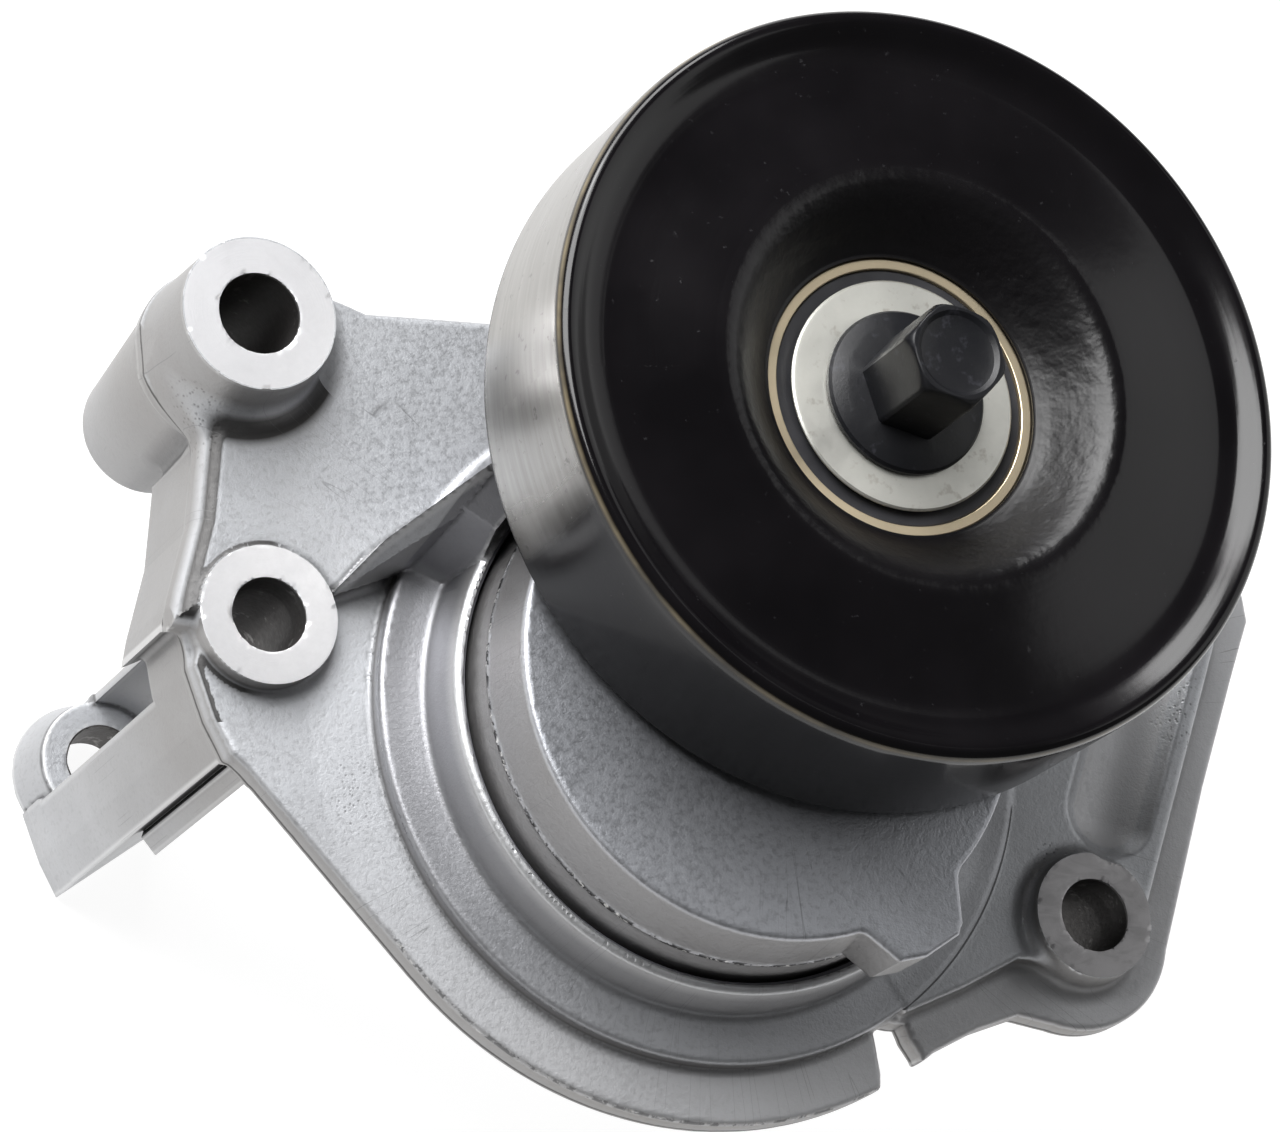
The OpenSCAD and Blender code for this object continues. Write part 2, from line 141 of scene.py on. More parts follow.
class Sparse:
    """Samples a field finely near its surface, then fits one vertex to each cell the surface crosses."""

    def __init__(self, f, lo, hi, h, block=8):
        self.f, self.h = f, h
        self.lo = np.array(lo, dtype=float) + 0.137 * h
        nb = np.ceil((np.array(hi) - self.lo) / (h * block)).astype(int)
        c = [self.lo[i] + (np.arange(nb[i]) + 0.5) * h * block for i in range(3)]
        X, Y, Z = np.meshgrid(*c, indexing="ij")
        d = f(X.ravel().astype(F), Y.ravel().astype(F), Z.ravel().astype(F)).reshape(X.shape)
        keep = np.argwhere(np.abs(d) < h * block * 0.9 * 1.5 + 2.0)
        self.shape = nb * block + 1
        vol = np.repeat(np.repeat(np.repeat(np.sign(d) * 50, block, 0), block, 1), block, 2).astype(F)
        full = np.full(self.shape, 50, dtype=F)
        full[:-1, :-1, :-1] = vol
        ar = np.arange(block + 1)
        for s in range(0, len(keep), 600):
            k = keep[s:s + 600] * block
            I = (k[:, 0, None] + ar)[:, :, None, None] + np.zeros((1, 1, block + 1, block + 1), int)
            J = (k[:, 1, None] + ar)[:, None, :, None] + np.zeros((1, block + 1, 1, block + 1), int)
            K = (k[:, 2, None] + ar)[:, None, None, :] + np.zeros((1, block + 1, block + 1, 1), int)
            v = f((self.lo[0] + I.ravel() * h).astype(F), (self.lo[1] + J.ravel() * h).astype(F), (self.lo[2] + K.ravel() * h).astype(F))
            full[I.ravel(), J.ravel(), K.ravel()] = v
        self.vol = full

    def mesh(self):
        v, h, f = self.vol, self.h, self.f
        ins = v < 0
        pts, nrm, cells, quads, flips = [], [], [], [], []
        n0, n1, n2 = v.shape
        stride = np.array([n1 * n2, n2, 1])
        for ax in range(3):
            a = [slice(None)] * 3
            b = [slice(None)] * 3
            a[ax], b[ax] = slice(None, -1), slice(1, None)
            cross = np.argwhere(ins[tuple(a)] != ins[tuple(b)])
            u, w = (ax + 1) % 3, (ax + 2) % 3
            ok = (cross[:, u] > 0) & (cross[:, w] > 0) & (cross[:, u] < v.shape[u] - 1) & (cross[:, w] < v.shape[w] - 1)
            cross = cross[ok]
            e = np.zeros(3, int)
            e[ax] = 1
            va = v[cross[:, 0], cross[:, 1], cross[:, 2]].astype(float)
            c2 = cross + e
            vb = v[c2[:, 0], c2[:, 1], c2[:, 2]].astype(float)
            base = self.lo + cross * h
            ta, tb = np.zeros(len(va)), np.ones(len(va))
            t = va / (va - vb)
            for _ in range(2):
                p = base.copy()
                p[:, ax] += t * h
                m = f(p[:, 0].astype(F), p[:, 1].astype(F), p[:, 2].astype(F)).astype(float)
                same = (m < 0) == (va < 0)
                ta, va = np.where(same, t, ta), np.where(same, m, va)
                tb, vb = np.where(same, tb, t), np.where(same, vb, m)
                den = va - vb
                t = np.clip(ta + (tb - ta) * va / np.where(np.abs(den) < 1e-9, 1e-9, den), 0, 1)
            p = base.copy()
            p[:, ax] += t * h
            g = np.empty_like(p)
            s = 0.04
            for i in range(3):
                q = p.copy()
                q[:, i] += s
                r = p.copy()
                r[:, i] -= s
                g[:, i] = (f(q[:, 0].astype(F), q[:, 1].astype(F), q[:, 2].astype(F)) - f(r[:, 0].astype(F), r[:, 1].astype(F), r[:, 2].astype(F)))
            g /= np.maximum(np.linalg.norm(g, axis=1), 1e-9)[:, None]
            ids = cross @ stride
            four = np.stack([ids, ids - stride[u], ids - stride[u] - stride[w], ids - stride[w]], 1)
            flip = va < vb
            quads.append(np.where(flip[:, None], four, four[:, ::-1]))
            pts.append(np.repeat(p, 4, 0))
            nrm.append(np.repeat(g, 4, 0))
            cells.append(four.ravel())
        pts, nrm, cells, quads = map(np.concatenate, (pts, nrm, cells, quads))
        uniq, inv = np.unique(cells, return_inverse=True)
        n = len(uniq)
        cnt = np.bincount(inv, minlength=n).astype(float)
        mass = np.stack([np.bincount(inv, pts[:, i], n) for i in range(3)], 1) / cnt[:, None]
        off = pts - mass[inv]
        b = np.einsum("ij,ij->i", nrm, off)
        A = np.zeros((n, 3, 3))
        B = np.zeros((n, 3))
        for i in range(3):
            B[:, i] = np.bincount(inv, nrm[:, i] * b, n)
            for j in range(i, 3):
                A[:, i, j] = A[:, j, i] = np.bincount(inv, nrm[:, i] * nrm[:, j], n)
        A += np.eye(3) * (0.03 * cnt)[:, None, None]
        x = np.linalg.solve(A, B[:, :, None])[:, :, 0]
        ln = np.linalg.norm(x, axis=1)
        x *= np.minimum(1.0, 0.9 * h / np.maximum(ln, 1e-9))[:, None]
        verts = mass + x
        faces = np.searchsorted(uniq, quads)
        return verts, faces


def make_mesh(name, verts, faces, shift, field):
    me = bpy.data.meshes.new(name)
    v = (verts + np.array([shift[0], shift[1], 0.0])) * MM
    me.vertices.add(len(v))
    me.vertices.foreach_set("co", v.astype(np.float32).ravel())
    nf = len(faces)
    me.loops.add(nf * 4)
    me.polygons.add(nf)
    me.loops.foreach_set("vertex_index", faces.astype(np.int32).ravel())
    me.polygons.foreach_set("loop_start", np.arange(0, nf * 4, 4, dtype=np.int32))
    me.polygons.foreach_set("loop_total", np.full(nf, 4, dtype=np.int32))
    me.update(calc_edges=True)
    me.validate()
    me.polygons.foreach_set("use_smooth", np.ones(len(me.polygons), dtype=bool))
    o = bpy.data.objects.new(name, me)
    bpy.context.scene.collection.objects.link(o)
    # the field's own slope gives the shading normal, except across a hard edge
    g = np.zeros((len(v), 3))
    q = verts.astype(F)
    for i in range(3):
        e = np.zeros(3, dtype=F)
        e[i] = 0.08
        g[:, i] = field(*(q + e).T) - field(*(q - e).T)
    g /= np.maximum(np.linalg.norm(g, axis=1), 1e-9)[:, None]
    fn = np.empty(len(me.polygons) * 3, dtype=np.float32)
    me.polygons.foreach_get("normal", fn)
    fn = np.repeat(fn.reshape(-1, 3), 4, 0).astype(float)
    li = np.empty(len(me.loops), dtype=np.int32)
    me.loops.foreach_get("vertex_index", li)
    ln = g[li]
    dot = np.einsum("ij,ij->i", ln, fn)
    ln = np.where((dot > 0.88)[:, None], ln, fn)
    me.normals_split_custom_set(ln.astype(np.float32))
    return o, g


# ------------------------------------------------------------------ the bracket casting
BA, BB, BC, BD = (-64.1, 53.7), (-62.7, 14.1), (56.3, -27.7), (76.0, 26.5)
FLANGE = [(0, 0), (-44, -34.4), (-66.1, -6.4), (-68.3, -4.3), (-70.5, 0.8), (-72.4, 8), (-70, 18), (-58, 24)]
RIGHT = [(0, 0), (27.4, -42), (28.1, -44.1), (29.4, -46.3), (31.6, -45.9), (39.2, -42.6), (45.7, -40.7), (51, -42.0),
         (60, -42.4), (70, -34), (80.8, -6.8), (88, 9.7), (92.0, 18.5), (91.8, 22.5), (90, 27), (85.5, 34), (78, 41),
         (60, 48.5), (46, 50.0), (30, 50.5), (10, 51.5), (-8, 53.5), (-22, 57.8), (-30, 57.8)]
NOTCH = [(22.0, -60), (23.2, -48.6), (22.6, -43.1), (23.2, -42.3), (25, -41.7), (27.4, -42), (28.1, -44.1), (29.4, -46.3), (34, -60)]
PLATE = [(0, 0), (26.5, -40.7), (36, -37.2), (45.1, -33.1), (50, -33.1), (58, -31), (66, -27.5), (67, -25.2),
         (83.7, 13.5), (84.6, 19), (83.5, 25), (79, 32), (71, 38.5), (58, 44.5), (45, 46.5), (29, 47.2), (9, 48.4), (-9, 51.0), (-23, 57.8), (-26, 57.8), (-44.7, 58.2), (-54, 62),
         (-68.8, 46), (-69.1, 40), (-71.2, 27.8), (-74.6, 17.5), (-75.6, 13.6), (-66, 12), (-54, 17.2), (-42.3, 21.6)]
SKIRT1 = [(-69.1, 40), (-71.2, 27.8), (-74.6, 17.5), (-75.6, 13.6), (-71, 15.5), (-67, 28), (-65, 40), (-62, 44)]
SKIRT2 = [(-56, 60), (-44.7, 58.2), (-26, 57.8), (-23, 57.8), (-9, 51.0), (9, 48.4), (29, 47.2), (27, 43.5), (8, 44.6), (-10, 47.2), (-25, 53.8), (-56, 54)]
SKIRT3 = [(-75.6, 13.6), (-74.6, 17.5), (-66, 25), (-58, 28), (-54, 20), (-63.5, 21.8), (-71, 15.5)]
LEG = [(-68.3, -4.3), (-70.5, 0.8), (-72.6, 8.4), (-73.2, 14.1), (-60, 20), (-52.4, 16), (-53, 5.4)]
OPEN = [BB, (-63.2, 23), (-63.7, 34), (-84, 34), (-84, 8.25), (-69.4, 8.25)]
FOOT = [(-68.3, -4.3), (-70.5, 0.8), (-72.6, 8.25), (-62.7, 14.1), (-52.4, 16), (-53, 5.4)]
LEGRIB = [(-66.6, -4.4), (-64.8, -7.0), (-40, 12.2), (-42, 16), (-58, 4)]

# web from the stop wall down to the bolt boss
WEB = hull_of([(-53.8, 17.0, 80.5), (-48.3, 22.6, 89.5), (-37.3, 29.7, 101.4), (-48.3, 22.6, 80.5), (-37.3, 29.7, 80.5),
               (-42.6, 20.8, 80.5), (-34.5, 27.5, 80.5), (-34.5, 27.5, 99)])


def bracket(x, y, z):
    r = np.hypot(x, y)
    # thin outer flange, with the moulding line just below its middle
    fl = np.minimum(r - 55.8, poly(x, y, FLANGE))
    fl = np.minimum(fl, disc(x, y, BB, 9.8))
    rt = np.minimum(poly(x, y, RIGHT), disc(x, y, BC, 15.2))
    fl = np.minimum(fl, rt)
    fl = smax(fl, -poly(x, y, NOTCH), 0.6)
    d = rounded(fl + 0.012 * np.abs(z - 74.9) ** 2, z, 73.7, 78.5 - 0.05 * np.clip(r - 49.0, 0, 8), 0.75)
    # raised plate
    pl = poly(x, y, PLATE)
    pl = smin(pl, disc(x, y, (BA[0] + 3.2, BA[1] - 3.4), 10.6), 4.0)
    pl = pl + 0.10 * (z - 81.5)
    d = smin(d, rounded(pl, z, 74.2, 81.3, np.interp(x, [-62.0, -48.0], [2.6, 0.85]).astype(F)), 1.2)
    # round raised ring with its own sharp step
    d = smin(d, rounded(r - 47.9 + 0.06 * (z - 81.5), z, 74.2, 81.55, 0.8), 0.8)
    # cup below
    d = smin(d, cone(x, y, z, (0, 0), 55.0, 41.4, 80.0, 42.6, 2.2), 4.0)
    # skirt walls and ribs below the plate
    sk = np.minimum(np.minimum(poly(x, y, SKIRT1), poly(x, y, SKIRT2)), poly(x, y, SKIRT3))
    d = smin(d, rounded(sk, z, 56.5, 78.6, 0.8), 1.2)
    for p, w in ((BA, 3.0), (BD, 3.0), (BC, 3.0), ((9.5, 54), 2.5), ((-40, 57), 2.5)):
        l = math.hypot(*p)
        ux, uy = p[0] / l, p[1] / l
        s = x * ux + y * uy
        q = np.abs(x * uy - y * ux) - w / 2 - 0.03 * (z - 62)
        rb = rounded(np.maximum(q, np.maximum(40 - s, s - l)), z, 62.0, 77.0, 0.6)
        d = smin(d, rb, 2.0)
    # bosses
    a = smin(cone(x, y, z, BA, 42.0, 9.5, 73.2, 11.6, 0.8), cone(x, y, z, BA, 72.6, 11.85, 90.8, 10.96, 0.05), 0.8)
    d = smin(d, a, 5.0)
    d = smin(d, np.hypot(np.hypot(x - BA[0], y - BA[1]) - 11.5, (z - 74.9) * 0.8) - 0.55, 0.5)
    c = smin(cone(x, y, z, BC, 58.0, 9.2, 75.0, 9.9, 0.6), cone(x, y, z, BC, 74.0, 9.9, 84.3, 9.07, 0.05), 0.5)
    d = smin(d, c, 2.4)
    dd = smin(cone(x, y, z, BD, 58.0, 8.8, 75.0, 9.5, 0.6), cone(x, y, z, BD, 74.0, 9.5, 84.3, 8.8, 0.4), 0.5)
    d = smin(d, dd, 3.0)
    # long leg, with its tapered end pad and the open pocket
    lg = rounded(np.minimum(poly(x, y, LEG), disc(x, y, BB, 10.4)), z, 3.0, 76.0, 0.7)
    core = np.minimum(np.hypot(x - BB[0], y - BB[1]) - 8.9, poly(x, y, OPEN))
    pocket = np.maximum(core, np.maximum(9.0 - z, z - 60.0))
    lg = smax(lg, -pocket, 0.8)
    low = np.maximum(core + 1.0, z - 9.0)
    lg = np.maximum(lg, -np.maximum(poly(x, y, OPEN), z - 9.0))
    pad = cone(x, y, z, BB, 0.0, 11.0, 9.0, 9.0, 0.35)
    foot = rounded(poly(x, y, FOOT), z, 0.0, 8.9, 0.6)
    lg = smin(lg, np.minimum(pad, foot), 0.5)
    d = smin(d, lg, 1.6)
    d = smin(d, rounded(poly(x, y, LEGRIB), z, 34.5, 76.0, 0.7), 1.6)
    b = cone(x, y, z, BB, 60.0, 9.1, 81.7, 9.75, 0.05)
    d = smin(d, b, 1.0)
    d = np.maximum(d, -np.maximum(disc(x, y, BB, 10.2), 81.7 - z))
    # stop wall with its lead-in slope, and the web beside it
    ang = np.degrees(np.arctan2(y, x))
    top = np.interp(ang, [104.0, 140.5, 146.7, 152.6, 156.0], [101.0, 101.0, 95.3, 81.5, 72.0]).astype(F)
    wall = np.maximum(np.maximum(np.interp(z, [88.5, 95.0], [39.7, 41.2]).astype(F) - r, r - 47.75), (104.8 - ang) * 0.78)
    wall = np.where(ang < 90, np.maximum(wall, 20), wall)
    wall = np.maximum(wall, -0.625 * (x + 37.3) + 0.78 * (y - 29.7) + (101.4 - z) * 0.08)
    wl = rounded(np.maximum(wall, (z - top) * 0.72), z, 78.0, 101.6, 0.5)
    wl = np.maximum(wl, wall)
    web = np.maximum(hull_planes(x, y, z, WEB), 46.5 - r)
    far = -0.625 * (x + 37.3) + 0.78 * (y - 29.7)
    d = smin(d, wl, np.interp(far, [-3.5, -2.0], [1.6, 0.06]).astype(F))
    d = smin(d, web, 0.45)
    # collar round the arm
    t = np.clip((z - 81.5) / 6.8, 0, 1)
    col = rounded(r - (41.6 - 1.4 * t), z, 78.0, 89.5, 1.0)
    d = smin(d, col, 1.0)
    # hollows
    cup = np.maximum(r - 38.9, 61.0 - z)
    cup = np.minimum(cup, np.maximum(np.maximum(r - 38.9, 14.0 - r), 59.0 - z))
    d = smax(d, -cup, 0.5)
    # scooped relief
    ux, uy = 0.397, 0.918
    s = (x - 62.7) * ux + (y + 11.6) * uy
    q = (x - 62.7) * uy - (y + 11.6) * ux
    sc = np.hypot(np.hypot(q, np.maximum(np.maximum(-s, s - 34), 0)), z - 88.0) - 9.6
    d = smax(d, -sc, 0.35)
    for p, hr in ((BA, 5.75), (BB, 5.25), (BC, 5.25), (BD, 5.25)):
        d = smax(d, -disc(x, y, p, hr), 0.35)
    d = np.maximum(d, -(np.maximum(r - 8.0, z - 66.0)))
    return np.maximum(np.maximum(np.maximum(d, -75.55 - x), -55.76 - y), 0.02 - z)


# ------------------------------------------------------------------ the arm casting
EAR = [(5, -30), (9.3, -34.9), (14.3, -39.2), (18.5, -38.5), (23.7, -35.5), (24.5, -33.8), (24.7, -25.0), (22, -22)]
LOBE = []
ca, sa = math.cos(math.radians(68.3)), math.sin(math.radians(68.3))
for u_, v_ in ((4, 35.2), (40, 16.9), (40, -16.9), (4, -35.2)):
    LOBE.append((u_ * ca - v_ * sa, u_ * sa + v_ * ca))


def arm(x, y, z):
    r = np.hypot(x, y)
    rad = np.interp(z, [84.0, 91.5, 103.5, 106.0], [38.05, 37.6, 36.35, 36.1]).astype(F)
    d = rounded(r - rad, z, 84.0, 104.3, 0.9)
    # faint moulding line round the wall
    d = smin(d, np.hypot(r - rad + 0.25, (z - 94.2) * 1.1) - 0.3, 0.6)
    # lobe under the pulley and the ear, one flat top
    lobe = np.minimum(disc(x, y, PX, 17.4), poly(x, y, LOBE))
    top = smin(smin(r - 36.3, lobe, 2.0), poly(x, y, EAR), 1.0)
    d = np.minimum(d, rounded(top, z, 94.5, 104.3, 0.75))
    # boss under the pulley
    d = smin(d, cone(x, y, z, PX, 103.5, 14.5, 111.6, 11.0, 0.25), 2.0)
    # lug that rests on the stop wall
    d = smin(d, rounded(sector(x, y, 30.0, 46.4, 82.2, 104.2), z, 93.1, 104.0, 0.5), 0.8)
    # inside: hub, tongue, spring space
    d = smax(d, -np.maximum(np.maximum(r - 34.4, 13.5 - r), z - 98.8), 0.8)
    hub = rounded(r - 13.48, z, 62.0, 101.0, 0.3)
    d = np.minimum(d, hub)
    d = np.minimum(d, rounded(sector(x, y, 34.95, 38.05, -13.4, 13.4), z, 67.0, 87.0, 0.3))
    d = np.maximum(d, -np.maximum(r - 10.0, z - 101.0))
    d = smax(d, -np.maximum(r - 13.4, 99.6 - z), 0.3)
    d = np.maximum(d, -np.maximum(disc(x, y, PX, 5.0), 96.0 - z))
    return d


# ------------------------------------------------------------------ turned parts
def spline(points, per=6):
    """A smooth curve through points, as a finer list."""
    p = np.array(points, dtype=float)
    p = np.vstack([2 * p[0] - p[1], p, 2 * p[-1] - p[-2]])
    out = []
    for i in range(1, len(p) - 2):
        for k in range(per):
            t = k / per
            a, b, c, d = p[i - 1], p[i], p[i + 1], p[i + 2]
            out.append(0.5 * ((2 * b) + (c - a) * t + (2 * a - 5 * b + 4 * c - d) * t * t + (3 * b - a - 3 * c + d) * t ** 3))
    out.append(p[-2])
    return [tuple(v) for v in out]


def lathe(name, profile, centre, seg=300, radius=None, closed=True, angle=28):
    """Turns a profile of (r, z) in mm about a Z axis through centre. radius(r, z, theta) may bend the circle, as for a hexagon."""
    seg = seg
    n = len(profile)
    th = np.arange(seg) * 2 * math.pi / seg
    verts = []
    for r, z in profile:
        rr = radius(r, z, th) if radius else np.full(seg, r)
        verts.append(np.stack([rr * np.cos(th) + centre[0], rr * np.sin(th) + centre[1], np.full(seg, z)], 1))
    verts = np.concatenate(verts) * MM
    faces = []
    for i in range(n if closed else n - 1):
        j = (i + 1) % n
        for k in range(seg):
            l = (k + 1) % seg
            faces.append((i * seg + k, i * seg + l, j * seg + l, j * seg + k))
    me = bpy.data.meshes.new(name)
    me.from_pydata([tuple(v) for v in verts], [], faces)
    bm = bmesh.new()
    bm.from_mesh(me)
    bmesh.ops.remove_doubles(bm, verts=bm.verts, dist=1e-7)
    bmesh.ops.recalc_face_normals(bm, faces=bm.faces)
    bm.to_mesh(me)
    bm.free()
    me.polygons.foreach_set("use_smooth", np.ones(len(me.polygons), dtype=bool))
    o = bpy.data.objects.new(name, me)
    bpy.context.scene.collection.objects.link(o)
    me.set_sharp_from_angle(angle=math.radians(angle))
    return o


# ------------------------------------------------------------------ materials
def nt_new(name):
    m = bpy.data.materials.new(name)
    m.use_nodes = True
    nt = m.node_tree
    for n in list(nt.nodes):
        nt.nodes.remove(n)
    out = nt.nodes.new("ShaderNodeOutputMaterial")
    bs = nt.nodes.new("ShaderNodeBsdfPrincipled")
    nt.links.new(bs.outputs[0], out.inputs[0])
    return m, nt, bs


class G:
    """Small helper for building node graphs."""

    def __init__(self, nt):
        self.nt = nt
        self.co = nt.nodes.new("ShaderNodeTexCoord").outputs["Object"]

    def put(self, sock, v):
        if isinstance(v, bpy.types.NodeSocket):
            self.nt.links.new(v, sock)
        else:
            sock.default_value = v

    def noise(self, scale, detail=3.0, rough=0.5, co=None, dist=0.0):
        n = self.nt.nodes.new("ShaderNodeTexNoise")
        self.put(n.inputs["Vector"], co or self.co)
        n.inputs["Scale"].default_value = scale
        n.inputs["Detail"].default_value = detail
        n.inputs["Roughness"].default_value = rough
        n.inputs["Distortion"].default_value = dist
        return n.outputs["Fac"]

    def voronoi(self, scale, feature="F1", co=None, rand=1.0):
        n = self.nt.nodes.new("ShaderNodeTexVoronoi")
        n.feature = feature
        self.put(n.inputs["Vector"], co or self.co)
        n.inputs["Scale"].default_value = scale
        n.inputs["Randomness"].default_value = rand
        return n.outputs["Distance"]

    def math(self, op, a, b=0.0, c=0.0):
        n = self.nt.nodes.new("ShaderNodeMath")
        n.operation = op
        self.put(n.inputs[0], a)
        self.put(n.inputs[1], b)
        self.put(n.inputs[2], c)
        return n.outputs[0]

    def remap(self, v, a, b, c, d):
        n = self.nt.nodes.new("ShaderNodeMapRange")
        self.put(n.inputs[0], v)
        for i, q in enumerate((a, b, c, d)):
            n.inputs[i + 1].default_value = q
        return n.outputs[0]

    def ramp(self, v, stops):
        n = self.nt.nodes.new("ShaderNodeValToRGB")
        self.put(n.inputs[0], v)
        while len(n.color_ramp.elements) < len(stops):
            n.color_ramp.elements.new(0.5)
        for el, (p, c) in zip(n.color_ramp.elements, stops):
            el.position = p
            el.color = (*c, 1.0)
        return n.outputs[0]

    def mix(self, fac, a, b, mode="MIX"):
        n = self.nt.nodes.new("ShaderNodeMix")
        n.data_type = "RGBA"
        n.blend_type = mode
        self.put(n.inputs[0], fac)
        for i, v in ((6, a), (7, b)):
            if isinstance(v, bpy.types.NodeSocket):
                self.nt.links.new(v, n.inputs[i])
            else:
                n.inputs[i].default_value = (*v, 1.0)
        return n.outputs[2]

    def scaled(self, s, co=None):
        n = self.nt.nodes.new("ShaderNodeMapping")
        self.put(n.inputs[0], co or self.co)
        n.inputs["Scale"].default_value = s
        return n.outputs[0]

    def moved(self, p):
        n = self.nt.nodes.new("ShaderNodeVectorMath")
        n.operation = "SUBTRACT"
        self.put(n.inputs[0], self.co)
        n.inputs[1].default_value = p
        return n.outputs[0]

    def polar(self, c):
        """(radius in mm, angle in radians, z in mm) about a Z axis through c."""
        n = self.nt.nodes.new("ShaderNodeSeparateXYZ")
        self.put(n.inputs[0], self.moved((c[0] * MM, c[1] * MM, 0)))
        x, y, z = n.outputs
        r = self.math("SQRT", self.math("ADD", self.math("MULTIPLY", x, x), self.math("MULTIPLY", y, y)))
        return self.math("MULTIPLY", r, 1000.0), self.math("ARCTAN2", y, x), self.math("MULTIPLY", z, 1000.0)

    def vec(self, x, y, z):
        n = self.nt.nodes.new("ShaderNodeCombineXYZ")
        for i, v in enumerate((x, y, z)):
            self.put(n.inputs[i], v)
        return n.outputs[0]

    def attr(self, name):
        n = self.nt.nodes.new("ShaderNodeAttribute")
        n.attribute_name = name
        return n.outputs["Fac"]

    def bump(self, height, strength, dist, normal=None):
        n = self.nt.nodes.new("ShaderNodeBump")
        self.put(n.inputs["Height"], height)
        n.inputs["Strength"].default_value = strength
        n.inputs["Distance"].default_value = dist
        if normal is not None:
            self.nt.links.new(normal, n.inputs["Normal"])
        return n.outputs[0]


